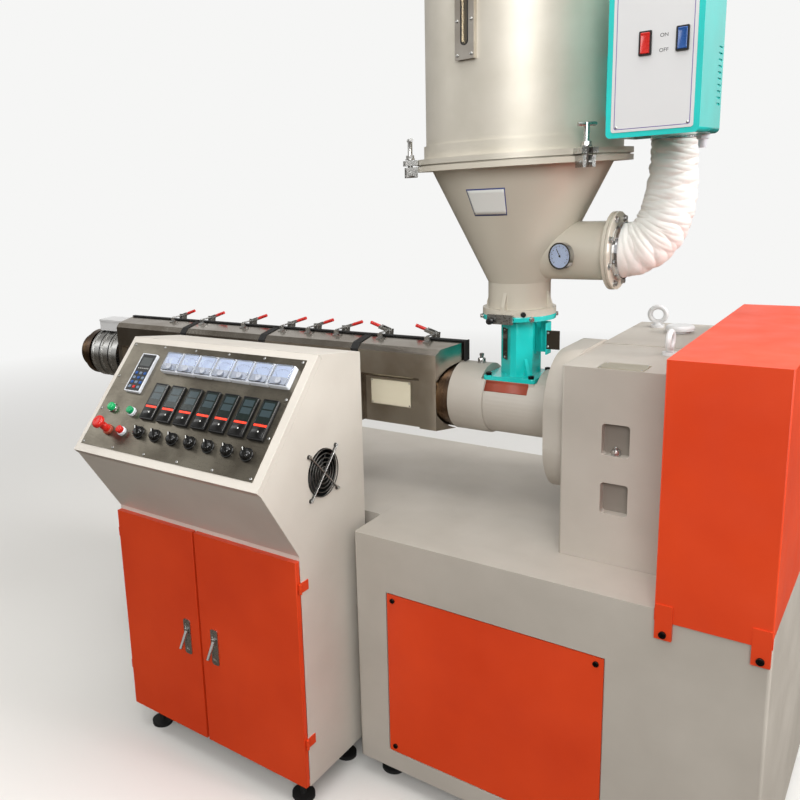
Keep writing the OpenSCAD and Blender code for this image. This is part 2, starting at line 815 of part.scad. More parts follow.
// the dial thermometer in the duct's near side
module thermometer() {
    along = 152;
    drop = 6;
    case_r = 35;
    case_t = 14;
    rim = 4;
    glass_in = 2;
    stem_r = 8;
    stem_in = 14;
    stem_out = 6;
    front = stem_out+case_t-glass_in;
    turn = -20;
    color(steel) placed() difference() {
        translate([hopper_x+along, axis_y-duct_r, duct_z-drop]) rotate([90, 0, turn]) difference() {
            union() {
                translate([0, 0, stem_out]) cylinder(r=case_r, h=case_t);
                translate([0, 0, -stem_in]) cylinder(r=stem_r, h=stem_in+stem_out+lap);
            }
            translate([0, 0, front]) cylinder(r=case_r-rim, h=glass_in+3*lap);
        }
        translate([hopper_x, axis_y, duct_z]) along_x(duct_r+seat, duct_end-hopper_x);
    }
}

// the dryer box stands beside the hopper; the heater stands behind it
box_x = hopper_x+hopper_r+38;
box_y = axis_y-220;
box_z = cone_top+45;
heater_rim = 6;
heater_x = box_x+86;
heater_y = box_y+box_d+heater_rim+heater_r+2;
heater_z = box_z+14;
heater_l = 338;

// the hose: a Bezier curve in x and z that drifts back in y, then straight up
hose_x0 = duct_end+seat+duct_flange_t-lap;
hose_top = heater_z-seat;
hose_bend = hose_top-100;
hose_pts = [[hose_x0, axis_y, duct_z], [hose_x0+60, axis_y, duct_z],
    [heater_x, heater_y, duct_z+30], [heater_x, heater_y, hose_bend]];
hose_steps = 18;
hose_sides = 24;
function bezier(p, t) = pow(1-t, 3)*p[0]+3*t*pow(1-t, 2)*p[1]+3*t*t*(1-t)*p[2]+pow(t, 3)*p[3];
function bezier_way(p, t) = 3*pow(1-t, 2)*(p[1]-p[0])+6*t*(1-t)*(p[2]-p[1])+3*t*t*(p[3]-p[2]);
function unit(v) = v/norm(v);
// one ring of the hose, square to the curve, whose radius shrinks along it
function hose_ring(t) = let (c = bezier(hose_pts, t), way = unit(bezier_way(hose_pts, t)))
    let (side = unit(cross(way, [0, 1, 0])), up = cross(side, way))
    let (r = hose_r0+(heater_r-hose_r0)*t)
    [for (i = [0:hose_sides-1]) let (a = 360*i/hose_sides) c+r*(cos(a)*side+sin(a)*up)];
function top_ring(z) = [for (p = hose_ring(1)) [p[0], p[1], z]];

module hot_air_elbow() {
    rings = concat([for (i = [0:hose_steps]) hose_ring(i/hose_steps)], [top_ring(hose_top)]);
    n = hose_sides;
    last = len(rings)-1;
    color(white) placed() {
        translate([duct_end+seat, axis_y, duct_z]) along_x(duct_r+duct_rim, duct_flange_t);
        polyhedron(points=[for (ring = rings) for (p = ring) p], faces=concat(
            [[for (i = [n-1:-1:0]) i]], [[for (i = [0:n-1]) last*n+i]],
            [for (k = [0:last-1]) for (i = [0:n-1])
                [k*n+i, k*n+(i+1)%n, (k+1)*n+(i+1)%n, (k+1)*n+i]]));
    }
}

module heater_tube() {
    rim_t = 8;
    rim = heater_r+heater_rim;
    color(cream) placed() translate([heater_x, heater_y, heater_z]) rotate_extrude()
        polygon([[0, 0], [rim, 0], [rim, rim_t], [heater_r, rim_t], [heater_r, heater_l-rim_t],
            [rim, heater_l-rim_t], [rim, heater_l], [0, heater_l]]);
}

// the blower: a round housing on the heater's top, with its motor behind
module blower() {
    housing_r = 110;
    half_w = 45;
    edge = 12;
    motor_l = 130;
    up = 118;
    color(cream) placed() translate([heater_x, heater_y, heater_z+heater_l+seat]) {
        cylinder(r=heater_r+heater_rim, h=8);
        translate([0, 0, 7]) cylinder(r=heater_r-8, h=up-housing_r+40);
        translate([0, half_w, up]) rotate([90, 0, 0]) rotate_extrude()
            polygon(concat([[0, 0], [housing_r-edge, 0], [housing_r, edge]],
                [[housing_r, 2*half_w-edge], [housing_r-edge, 2*half_w], [0, 2*half_w]]));
        translate([0, half_w-lap, up]) rotate([-90, 0, 0]) rotate_extrude()
            polygon(domed(62, 0, motor_l, 14));
    }
}

// the dryer's control box with vents in its sides, and the brackets that carry it
module dryer_box() {
    corner = 11;
    vent_h = 5;
    vent_deep = 3;
    bracket_t = 60;
    color(teal) placed() {
        difference() {
            translate([box_x, box_y, box_z]) rounded_bar(box_w, box_d, box_h, corner);
            for (x = [box_x-lap, box_x+box_w-vent_deep], k = [0:9])
                translate([x, box_y+box_d-48, box_z+61+13.7*k]) cube([vent_deep+lap, 36, vent_h]);
        }
        difference() {
            translate([heater_x-bracket_t/2, box_y+box_d-lap, box_z+100])
                cube([bracket_t, heater_y-box_y-box_d, 160]);
            translate([heater_x, heater_y, box_z]) cylinder(r=heater_r+seat, h=box_h);
        }
        difference() {
            translate([hopper_x+hopper_r-20, box_y+150, box_z+60]) cube([58+lap, 30, 140]);
            translate([hopper_x, axis_y, box_z]) cylinder(r=hopper_r+seat, h=box_h);
        }
    }
}

// the box's front panel with two framed rocker switches
module dryer_switches() {
    inset = 12;
    panel_t = 1.5;
    frame_t = 4;
    frame_w = 24;
    frame_h = 49;
    frame_up = 172;
    color(white) placed() {
        translate([box_x+inset, box_y-seat-panel_t, box_z+inset])
            rounded_bar(box_w-2*inset, panel_t, box_h-2*inset, 6);
        for (x = [68, 143])
            translate([box_x+x, box_y-seat-panel_t-frame_t, box_z+frame_up])
                rounded_bar(frame_w, frame_t+lap, frame_h, 2);
    }
}

// the console's slope, measured from the lip up to the crest
slope_dy = cab_d+lip_out-crest_in;
slope_dz = crest_z-lip_z;
slope = atan2(slope_dz, slope_dy);
slope_l = sqrt(slope_dy*slope_dy+slope_dz*slope_dz);

// the cabinet's outline below the lid, from the back of the floor round to the roof
cab_front = cab_d-door_t;
door_top = cab_door_z-cab_z;
roof_back = crest_z-roof_fall-cab_z;
lid_d = lid_rim+seat;
chin_top = [cab_d+lip_out-lid_d*sin(slope)-cos(slope), lip_z-cab_z-lid_d*cos(slope)+sin(slope)];
crest_low = [crest_in-lid_d*sin(slope)-seat*cos(slope), crest_z-cab_z-lid_d*cos(slope)+seat*sin(slope)];
cab_outline = [[0, 0], [cab_front, 0], [cab_front, door_top], chin_top, crest_low,
    [crest_in-2*seat, crest_z-cab_z], [0, roof_back]];

// draws an outline as a flat plate that stands across x, from x towards the left
module cabinet_slice(x, t) {
    translate([x, cab_back, cab_z]) rotate([90, 0, -90]) linear_extrude(height=t) children();
}

// the fan sits in the right side, between the console and the roof
fan_y = cab_back-203.5;
fan_z = crest_z-328;

module cabinet_sides() {
    color(off_white) placed() difference() {
        for (x = [-cab_gap, cab_x+cab_t]) cabinet_slice(x, cab_t) polygon(cab_outline);
        translate([-cab_gap-cab_t-lap, fan_y, fan_z]) along_x(fan_r, cab_t+2*lap);
    }
}

module cabinet_back() {
    color(off_white) placed()
        translate([cab_x+cab_t+seat, cab_back-cab_t, cab_z])
            cube([cab_w-2*cab_t-2*seat, cab_t, roof_back-cab_t-seat]);
}

module cabinet_floor() {
    floor_h = 20;
    color(off_white) placed()
        translate([cab_x+cab_t+seat, cab_back-cab_front, cab_z])
            cube([cab_w-2*cab_t-2*seat, cab_front-cab_t-seat, floor_h]);
}

// puts a shape on the console: x from the left end, y up the slope, z out of it
module on_console() {
    translate([cab_x, lip_y, lip_z]) rotate([slope, 0, 0]) children();
}

// the chin and roof panels between the sides, and the lid that closes the slope
module console_hood() {
    header = 30;
    inner_x = -cab_gap-cab_t-seat;
    inner_w = cab_w-2*cab_t-2*seat;
    color(off_white) placed() {
        cabinet_slice(inner_x, inner_w) polygon([[cab_front, door_top-header], [cab_front, door_top],
            chin_top, chin_top-[2*cab_t, 0], [cab_front-1.2*cab_t, door_top+cab_t],
            [cab_front-cab_t, door_top-header]]);
        cabinet_slice(inner_x, inner_w) polygon([[crest_in-2*seat, crest_z-cab_z], [0, roof_back],
            [0, roof_back-cab_t], [crest_in-2*cab_t, crest_z-cab_z-1.5*cab_t]]);
        on_console() difference() {
            translate([0, 0, -lid_rim]) cube([cab_w, slope_l, lid_rim]);
            translate([cab_t, cab_t, -lid_rim-lap])
                cube([cab_w-2*cab_t, slope_l-2*cab_t, lid_rim-cab_t+lap]);
        }
    }
}

plate_x = 18;
plate_y = 25;
plate_h = 1.5;

module console_plate() {
    color(steel) placed() on_console()
        translate([plate_x, plate_y, seat]) cube([cab_w-plate_x-26, slope_l-47, plate_h]);
}

// puts an instrument on the plate, from the controllers' corner
module on_plate(x, y) {
    on_console() translate([x, y, plate_h+2*seat]) children();
}

ctrl_x = 220;

// a controller: a panel-size bezel with a sunk window and a hinged flap below it
module controller() {
    w = 48;
    h = 96;
    flap_h = 30;
    difference() {
        translate([-w/2, 0, 0]) cube([w, h, 10]);
        translate([-w/2+5, flap_h+6, 8.5]) cube([w-10, h-flap_h-12, 3]);
        translate([-w/2-lap, flap_h, 9]) cube([w+2*lap, 1.2, 3]);
    }
}

module controllers() {
    color(black) placed()
        for (i = [0:6]) on_plate(ctrl_x+i*ctrl_pitch, 132) controller();
}

// an ammeter: square base, clear square cover and the round boss of its adjuster
module ammeters() {
    w = 72;
    in = 3;
    first_u = 150;
    pitch = 77;
    row_v = 290;
    base_t = 8;
    cover_t = 18;
    boss_r = 9;
    boss_up = 14;
    boss_out = 20;
    color(white) placed()
        for (i = [0:6]) on_plate(first_u+i*pitch, row_v) {
            cube([w, w, base_t]);
            translate([in, in, base_t-lap]) bent_block(w-2*in, w-2*in, cover_t+lap, 5);
            translate([w/2, boss_up, base_t-lap]) cylinder(r=boss_r, h=boss_out+lap);
        }
}

module knobs() {
    right = 3;
    row_v = 95;
    disc_r = 15;
    disc_t = 6;
    grip_w = 8;
    grip_l = 28;
    grip_h = 15;
    turn = 35;
    color(black) placed()
        for (i = [0:6]) on_plate(ctrl_x+right+i*ctrl_pitch, row_v) {
            cylinder(r=disc_r, h=disc_t);
            rotate([0, 0, turn]) translate([-grip_w/2, -grip_l/2, disc_t-lap])
                bent_block(grip_w, grip_l, grip_h+lap, 2);
        }
}

module keypad() {
    w = 66;
    h = 136;
    edge = 6;
    color(white) placed() on_plate(80, 220) difference() {
        bent_block(w, h, 12, 3);
        translate([edge, edge, 10]) cube([w-2*edge, h-2*edge, 4]);
    }
}

// a push button: white collar and coloured cap
module push_button() {
    cylinder(r=14, h=10);
    rotate_extrude() polygon(domed(11, 8, 24, 3));
}

module push_buttons() {
    color(red) placed() {
        on_plate(60, 163) rotate_extrude() polygon(domed(12, 0, 16, 8));
        on_plate(136, 166) push_button();
        on_plate(134, 98) push_button();
        on_plate(103, 85) {
            cylinder(r=15, h=8);
            cylinder(r=10, h=26);
            rotate_extrude() polygon(concat([[0, 22], [14, 22], [20, 27]], [for (a = [0:15:90])
                [12+8*cos(a), 31+8*sin(a)]], [[0, 39]]));
        }
    }
}

// the fan guard: rings in front of two wires that run to its four screws
guard_wire = 1.6;
screw_at = 88;

module fan_grille() {
    wire_x = 2;
    ring_x = 4.6;
    color(steel) placed() translate([-cab_gap+seat, fan_y, fan_z]) {
        for (k = [0:4]) translate([ring_x, 0, 0]) rotate([0, 90, 0]) rotate_extrude()
            translate([fan_r-2-12*k, 0]) circle(r=guard_wire, $fn=24);
        for (a = [45, 135]) translate([wire_x, 0, 0]) rotate([a, 0, 0])
            translate([0, 0, -screw_at]) cylinder(r=wire_x, h=2*screw_at);
        for (a = [45, 135, 225, 315]) rotate([a, 0, 0]) translate([0, 0, screw_at])
            along_x(6, 3);
    }
}

// the fan's square frame inside the side sheet, with struts that carry the hub
fan_depth = 38;
fan_half = 75;
hub_r = 24;
fan_x = -cab_gap-cab_t-seat;

module cooling_fan() {
    strut = 6;
    plate = 5;
    color(black) placed() translate([fan_x-fan_depth, fan_y, fan_z]) {
        difference() {
            translate([0, -fan_half, -fan_half]) cube([fan_depth, 2*fan_half, 2*fan_half]);
            translate([plate, 0, 0]) along_x(fan_r, fan_depth);
            translate([-lap, 0, 0]) along_x(fan_r-4, fan_depth);
        }
        difference() {
            for (a = [0, 60, 120]) rotate([a, 0, 0])
                translate([0, -strut/2, -fan_r]) cube([plate, strut, 2*fan_r]);
            translate([-lap, 0, 0]) along_x(hub_r-lap, fan_depth);
        }
        along_x(hub_r, plate);
        along_x(3, 16);
    }
}

// the rotor turns on the frame's pin, clear of the frame all round
module fan_rotor() {
    back = 11;
    depth = 18;
    blade_t = 2.5;
    color(black) placed() translate([fan_x-fan_depth+back, fan_y, fan_z]) difference() {
        union() {
            along_x(hub_r, depth);
            for (a = [0:360/7:359]) rotate([a, 0, 0]) translate([depth/2, 0, hub_r-2])
                rotate([0, 0, 38]) translate([-blade_t/2, -11, 0]) cube([blade_t, 22, fan_r-7-hub_r]);
        }
        translate([-lap, 0, 0]) along_x(3.6, 8);
    }
}

// the doors hang on two pins each, just outside the cabinet's sides
door_gap_side = 2;
door_z0 = cab_z+3;
door_z1 = cab_door_z-12;
hinge_out = 4;
hinge_y = cab_face+door_t/2;
hinge_h = 28;
hinge_z = [door_z0+124, door_z1-91];
knuckle_r = 4.5;
pin_r = 2.4;
lug_h = 8.5;

// one hinge's fixed half at its pin axis, for a door that hangs on the right
module hinge_lugs() {
    leaf_t = 2.7;
    leaf_w = 30;
    arm = 12;
    for (z = [0, hinge_h-lug_h]) {
        translate([0, 0, z]) cylinder(r=knuckle_r, h=lug_h);
        translate([-hinge_out+seat, 0, z]) cube([leaf_t, arm, lug_h]);
    }
    translate([-hinge_out+seat, door_t/2, 0]) cube([leaf_t, leaf_w, hinge_h]);
    cylinder(r=pin_r, h=hinge_h);
}

// the door's knuckle between the lugs, with a leaf that is welded to the door's edge
module hinge_knuckle() {
    h = hinge_h-2*lug_h-2*seat;
    leaf_t = 3;
    translate([0, 0, lug_h+seat]) difference() {
        union() {
            cylinder(r=knuckle_r, h=h);
            translate([-hinge_out-door_gap_side-lap, -leaf_t/2, 0])
                cube([hinge_out+door_gap_side+lap, leaf_t, h]);
        }
        translate([0, 0, -lap]) cylinder(r=3, h=h+2*lap);
    }
}

module door_hinges() {
    color(orange) placed()
        for (z = hinge_z) {
            translate([-cab_gap+hinge_out, hinge_y, z]) hinge_lugs();
            translate([cab_x-hinge_out, hinge_y, z]) mirror([1, 0, 0]) hinge_lugs();
        }
}

// a door's folded tray with the opening of its hollow towards the cabinet
module door_tray(w) {
    rim = 1.5;
    h = door_z1-door_z0;
    difference() {
        bent_block(w, door_t-seat, h, rim);
        translate([rim, rim, rim]) cube([w-2*rim, door_t, h-2*rim]);
    }
}

module door_left() {
    color(orange) placed() {
        translate([cab_x+door_gap_side, cab_face, door_z0]) door_tray(door_left_w);
        for (z = hinge_z)
            translate([cab_x-hinge_out, hinge_y, z]) mirror([1, 0, 0]) hinge_knuckle();
    }
}

right_door_x = cab_x+door_gap_side+door_left_w+door_gap;
module door_right() {
    color(orange) placed() {
        translate([right_door_x, cab_face, door_z0])
            door_tray(-cab_gap-door_gap_side-right_door_x);
        for (z = hinge_z)
            translate([-cab_gap+hinge_out, hinge_y, z]) hinge_knuckle();
    }
}

// a lever latch: a plate on the door's face, a pivot block and a lever that hangs out
module latch() {
    plate = 3;
    w = 28;
    h = 116;
    translate([-w/2, -seat-plate, -h/2]) difference() {
        rounded_bar(w, plate, h, 8);
        translate([6, -lap, 14]) rounded_bar(w-12, plate-1.5+lap, h-28, 6);
    }
    translate([-7, -seat-9, 12]) cube([14, 8, 16]);
    translate([0, -seat-6, 22]) rotate([-32, 0, 0]) translate([-5, -3, -56]) bent_block(10, 6, 60, 2);
}

latch_z = cab_z+338;
module latch_left() {
    color(steel) placed()
        translate([cab_x+door_gap_side+door_left_w-49, cab_face, latch_z]) latch();
}

module latch_right() {
    color(steel) placed() translate([right_door_x+56, cab_face, latch_z]) latch();
}

base_rear();
base_front();
access_panels();
feet();
belt_guard();
gearbox();
output_housing();
lifting_eyes();
breather();
bare_plates();
feed_housing();
barrel();
covers_near();
covers_far();
cover_seals();
toggle_clamps();
clamp_grips();
barrel_supports();
die_adapter();
die_heater();
terminal_boxes();
hopper_stand();
sight_strip();
slide_gate();
drain_chute();
hopper_cone();
hopper_barrel();
hopper_lid();
hopper_clamps();
level_window();
thermometer();
hot_air_elbow();
heater_tube();
blower();
dryer_box();
dryer_switches();
cabinet_sides();
cabinet_back();
cabinet_floor();
console_hood();
console_plate();
ammeters();
controllers();
knobs();
keypad();
push_buttons();
fan_grille();
cooling_fan();
fan_rotor();
door_hinges();
door_left();
door_right();
latch_left();
latch_right();
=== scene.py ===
# %% [markdown]
# # A plastic extruder, dressed for a portrait
# The frame brings in every solid of the machine, already in place and in metres.
# This notebook gives those solids their real finishes, adds the small things that a
# solid model leaves out, such as screws and instrument faces, and sets up the studio.

# %% Load the frame
import json
import math

import bpy
import numpy as np
from mathutils import Matrix, Vector


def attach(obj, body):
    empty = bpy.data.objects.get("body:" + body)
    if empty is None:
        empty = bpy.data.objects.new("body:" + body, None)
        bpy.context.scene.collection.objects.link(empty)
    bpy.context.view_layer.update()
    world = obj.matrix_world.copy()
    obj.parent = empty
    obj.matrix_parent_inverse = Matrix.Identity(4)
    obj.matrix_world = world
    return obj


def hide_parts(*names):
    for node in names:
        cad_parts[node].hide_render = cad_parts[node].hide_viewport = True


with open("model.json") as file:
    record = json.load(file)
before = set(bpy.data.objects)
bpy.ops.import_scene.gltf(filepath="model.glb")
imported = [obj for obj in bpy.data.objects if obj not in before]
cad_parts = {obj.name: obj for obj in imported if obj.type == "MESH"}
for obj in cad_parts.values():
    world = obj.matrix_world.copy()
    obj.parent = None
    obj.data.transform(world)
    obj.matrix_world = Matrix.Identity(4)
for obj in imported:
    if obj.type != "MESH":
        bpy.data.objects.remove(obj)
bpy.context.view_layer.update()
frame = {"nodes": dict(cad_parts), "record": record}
NODES = frame["nodes"]
MM = 0.001

# %% [markdown]
# ## The camera
# The picture looks at the machine's drive end from head height, through a short lens held a
# little crooked, and it is a crop of a wider one. A camera could be placed by eye, but here
# its place and angles were fitted to the machine's measured corners. A lens shift stands for
# the crop: it slides the picture without turning the camera.

# %% Camera
PICTURE = 800
FOCAL_PX = 822
YAW, PITCH, ROLL = (math.radians(angle) for angle in (40.35, 12.13, -3.34))
CAMERA_PLACE = Vector((1.5160, -2.0944, 1.7503))
LENS_SHIFT = (0.18, -0.04)


def aim(yaw, pitch, roll, place):
    """Camera matrix whose columns are right, up and back. Back points from the subject to
    the lens at that yaw and pitch, and right and up turn about it by the roll."""
    level = math.cos(pitch)
    back = Vector((math.sin(yaw) * level, -math.cos(yaw) * level, math.sin(pitch)))
    right = (-back).cross(Vector((0, 0, 1))).normalized()
    up = back.cross(right)
    c, s = math.cos(roll), math.sin(roll)
    turn = Matrix((c * right + s * up, c * up - s * right, back)).transposed().to_4x4()
    return Matrix.Translation(place) @ turn


camera_data = bpy.data.cameras.new("camera")
camera_data.sensor_width = 36
camera_data.lens = FOCAL_PX / PICTURE * camera_data.sensor_width
camera_data.shift_x, camera_data.shift_y = LENS_SHIFT
camera_data.clip_start = 0.05
camera = bpy.data.objects.new("camera", camera_data)
camera.matrix_world = aim(YAW, PITCH, ROLL, CAMERA_PLACE)
bpy.context.collection.objects.link(camera)
bpy.context.scene.camera = camera
bpy.context.scene.view_settings.view_transform = "Standard"
print("lens mm:", round(camera_data.lens, 2))

# %% [markdown]
# ## Shader building blocks
# Paint colours are written as the hex values that a screen shows. Shaders need linear
# light, so one function turns them. Patterns are laid out in millimetres of the object's
# own space, so a grain of 2 means two millimetres wherever it is used.

# %% Nodes and patterns


def linear(code):
    """sRGB hex to linear RGBA: c/12.92 up to 0.04045, then ((c+0.055)/1.055)^2.4."""
    c = np.array([int(code[i : i + 2], 16) for i in (1, 3, 5)]) / 255
    lin = np.where(c <= 0.04045, c / 12.92, ((c + 0.055) / 1.055) ** 2.4)
    return (*lin.tolist(), 1.0)


def add(tree, kind, links=(), sockets=(), **settings):
    """Adds a node of that kind, sets its properties and input sockets, and joins its inputs
    to the given output sockets."""
    node = tree.nodes.new("ShaderNode" + kind)
    for name, value in settings.items():
        setattr(node, name, value)
    for name, value in dict(sockets).items():
        node.inputs[name].default_value = value
    for name, output in dict(links).items():
        tree.links.new(output, node.inputs[name])
    return node


def grain(tree, size, stretch=(1, 1, 1), detail=3.0):
    """Noise from 0 to 1 whose blobs are about size millimetres, longer along stretched axes."""
    place = add(tree, "TexCoord").outputs["Object"]
    cell = [size * MM * s for s in stretch]
    scaled = add(tree, "VectorMath", {0: place}, {1: cell}, operation="DIVIDE").outputs[0]
    return add(tree, "TexNoise", {"Vector": scaled}, {"Scale": 1, "Detail": detail}).outputs["Fac"]


def spread(tree, value, low, high, start=0.3, end=0.7):
    """Maps value from start..end onto low..high, held at both ends."""
    sockets = {"From Min": start, "From Max": end, "To Min": low, "To Max": high}
    return add(tree, "MapRange", {"Value": value}, sockets, clamp=True).outputs["Result"]


def ramp(tree, value, *stops):
    """Colour that runs through (position, hex) stops as value goes from 0 to 1."""
    node = add(tree, "ValToRGB", {"Fac": value})
    steps = node.color_ramp.elements
    for _ in stops[2:]:
        steps.new(0.5)
    for step, (position, code) in zip(steps, stops):
        step.position = position
        step.color = linear(code)
    return node.outputs["Color"]


def relief(tree, shader, *layers):
    """Stacks bumps on a shader. Each layer is (height, millimetres from its low to its high)."""
    normal = {}
    for height, depth in layers:
        sockets = {"Distance": depth * MM, "Strength": 1}
        node = add(tree, "Bump", {"Height": height, **normal}, sockets)
        normal = {"Normal": node.outputs["Normal"]}
    tree.links.new(node.outputs["Normal"], shader.inputs["Normal"])


def new_material(name, **sockets):
    """A material with one Principled shader. Each keyword sets the socket of that name, with
    underscores for spaces, and a hex string becomes a colour."""
    material = bpy.data.materials.new(name)
    material.use_nodes = True
    shader = material.node_tree.nodes["Principled BSDF"]
    for key, value in sockets.items():
        value = linear(value) if isinstance(value, str) else value
        shader.inputs[key.replace("_", " ")].default_value = value
    return material, material.node_tree, shader


# %% [markdown]
# ## Finishes
# Four kinds cover almost everything here: sprayed paint, sheet or turned metal, moulded
# plastic and rubber, and clear covers. Paint comes first. A gun leaves drops that level into
# a fine orange peel, and handling leaves a gloss that varies over a hand's breadth. Noise
# nodes give both, so no picture file is needed and the pattern has no seams.

# %% Paint


def paint(name, light, dark, gloss=(0.28, 0.42), peel=0.03, coat=0.0):
    """Sprayed enamel: colour drifts between two close tones over 260 mm and gloss over 90 mm.
    The skin has 2.5 mm orange peel, on flats that bulge by 0.4 mm over 240 mm."""
    material, tree, shader = new_material(name, Coat_Weight=coat, Coat_Roughness=0.08)
    clouds = grain(tree, 260, detail=6)
    tree.links.new(ramp(tree, clouds, (0.3, dark), (0.7, light)), shader.inputs["Base Color"])
    tree.links.new(spread(tree, grain(tree, 90, detail=5), *gloss), shader.inputs["Roughness"])
    relief(tree, shader, (grain(tree, 2.5, detail=1), peel), (grain(tree, 240, detail=0), 0.4))
    return material


CREAM, OFF_WHITE = ("#CDC6B7", "#C7C0B1"), ("#D6D0C6", "#CCC5BB")
PAINTS = {
    "machine_grey": paint("satin_grey_enamel", "#BFB8AE", "#B0A99F", (0.36, 0.5)),
    "orange_paint": paint("satin_orange_powder_coat", "#E4481C", "#D63E16", (0.34, 0.46), 0.05),
    "white_paint": paint("gloss_white_enamel", "#DADADA", "#D6D6D6", (0.28, 0.34)),
    "teal_paint": paint("gloss_teal_enamel", "#22D2CC", "#17BBB4", (0.14, 0.26), 0.03, 0.5),
    "hopper_paint": paint("gloss_cream_enamel", *CREAM, (0.28, 0.36), 0.02, 0.15),
    "cabinet_paint": paint("satin_off_white_powder_coat", *OFF_WHITE, (0.34, 0.46), 0.05),
}
print("paints:", *PAINTS)

# %% [markdown]
# Bare metal shows mostly what it mirrors, so its look comes from how its surface was made.
# Rolling, brushing and turning leave fine grooves that blur a mirror image across them. Thin
# sheet also bulges, which bends the image into waves. Stretched noise gives the grooves and
# wide noise gives the waves. Grooves finer than the render shows are drawn coarser.

# %% Metal


def metal(name, light, dark, rough, brush=(1, 1, 1), size=0.8, wave=0.0, share=1.0):
    """Bare metal: fine grooves, long along the brushing, vary the gloss and the relief, and
    wave is how far thin sheet bulges over 170 mm, in millimetres. A share below one stands
    for a lacquer haze over the metal."""
    material, tree, shader = new_material(name, Metallic=share)
    stain = grain(tree, 120, detail=8)
    tree.links.new(ramp(tree, stain, (0.35, dark), (0.62, light)), shader.inputs["Base Color"])
    grooves = grain(tree, size, brush, detail=2)
    tree.links.new(spread(tree, grooves, *rough), shader.inputs["Roughness"])
    layers = [(grooves, 0.006)]
    if wave:
        layers.append((grain(tree, 170, (1.6, 1, 1), detail=2), wave))
    relief(tree, shader, *layers)
    return material


def tinted_steel(name, period):
    """Steel with heat colours, which run from straw to brown and blue-grey along x."""
    material, tree, shader = new_material(name, Metallic=1.0)
    bands = grain(tree, period, (1, 4, 4), detail=3)
    stops = ((0.25, "#8C8073"), (0.45, "#7A6248"), (0.6, "#5E4B3C"), (0.75, "#6F6A66"))
    tree.links.new(ramp(tree, bands, *stops), shader.inputs["Base Color"])
    turning = grain(tree, 0.5, (1, 40, 40), detail=1)
    tree.links.new(spread(tree, turning, 0.2, 0.38), shader.inputs["Roughness"])
    relief(tree, shader, (turning, 0.01))
    return material


EVEN = (1, 1, 1)
SHEET, ALUMINIUM = ("#C8C2B9", "#ABA297"), ("#CFC9B8", "#C3BCA9")
METALS = {
    "stainless": metal("bent_stainless_sheet", *SHEET, (0.14, 0.26), (1, 1, 25), 0.7, 2.2),
    "zinc_steel": metal("bright_zinc_plate", "#C4C4C2", "#AFAEAB", (0.24, 0.34), EVEN, 6),
    "dial_steel": metal("polished_steel", "#C9CACC", "#B9B9BA", (0.1, 0.2), EVEN, 2),
    "barrel_steel": tinted_steel("heat_tinted_barrel_steel", 90),
    "bronze": tinted_steel("heat_tinted_die_steel", 60),
    "bare_plate": metal("anodised_aluminium_plate", *ALUMINIUM, (0.4, 0.52), (40, 1, 1), 0.6),
}
PALE, PLATE_PAINTED_SHADE = ("#D3CDC0", "#CAC4B6"), ("#8F897C", "#6C665B")
HOPPER_STEEL = metal("pale_stainless_sheet", *PALE, (0.4, 0.48), (1, 1, 40), 1.6, 0.6, 0.35)
# The console plate's darker stainless tone is painted shade.
CONSOLE_STEEL_PAINTED_SHADE = metal("brushed_stainless_plate_painted_shade", *PLATE_PAINTED_SHADE, (0.26, 0.4), (60, 1, 1), 0.5, 0.5)
print("metals:", *METALS)

# %% [markdown]
# A moulding copies the spark-eroded texture of its mould, which spreads its highlight a
# little. Printed films and marks are thin plastic too. Lit displays and lamps get a faint
# glow of their own, and the pale dials get a faint painted glow though they are no lamps.
# A clear cover has to bend light, so it gets transmission and an index of refraction,
# which a see-through colour could not do.

# %% Plastic, rubber and clear covers


def plastic(name, colour, rough=0.35, texture=0.02, size=1.2, **sockets):
    """Moulded plastic or rubber: one colour and a fine spark-eroded texture."""
    material, tree, shader = new_material(name, Base_Color=colour, **sockets)
    spots = grain(tree, size, detail=2)
    tree.links.new(spread(tree, spots, rough - 0.06, rough + 0.06), shader.inputs["Roughness"])
    relief(tree, shader, (spots, texture))
    return material


def clear(name, colour, rough=0.03):
    """Clear cover of polycarbonate or glass, faintly tinted."""
    smooth = dict(Roughness=rough, IOR=1.5, Transmission_Weight=1.0)
    return new_material(name, Base_Color=colour, **smooth)[0]


PLASTICS = {
    "black_rubber": plastic("matt_black_rubber", "#191919", 0.62, 0.04, 2),
    "black_plastic": plastic("black_moulded_plastic", "#151515", 0.34, 0.02),
    "white_plastic": plastic("white_moulded_plastic", "#DDE0E6", 0.28, 0.01),
    "red_plastic": plastic("red_moulded_plastic", "#C9231B", 0.26, 0.01),
    "dark_glass": plastic("smoked_sight_strip", "#3A332B", 0.12, 0.005, 6),
}
GREEN_CAP = plastic("green_moulded_plastic", "#12945C", 0.24, 0.01)
BLUE_CAP = plastic("blue_moulded_plastic", "#1F4F92", 0.28, 0.01)
DARK_DISPLAY = plastic("dark_display_window", "#1E2725", 0.12, 0.004, 8)
SCREEN_GREY = plastic("grey_display_filter", "#39464A", 0.14, 0.004, 8)
BAR_GLOW = dict(Emission_Color="#FF3A20", Emission_Strength=0.6)
RED_LINE = plastic("red_glowing_bar", "#F4422C", 0.3, 0.0, 2, **BAR_GLOW)
WHITE_MARK = plastic("white_printed_mark", "#EDEDE8", 0.4, 0.0)
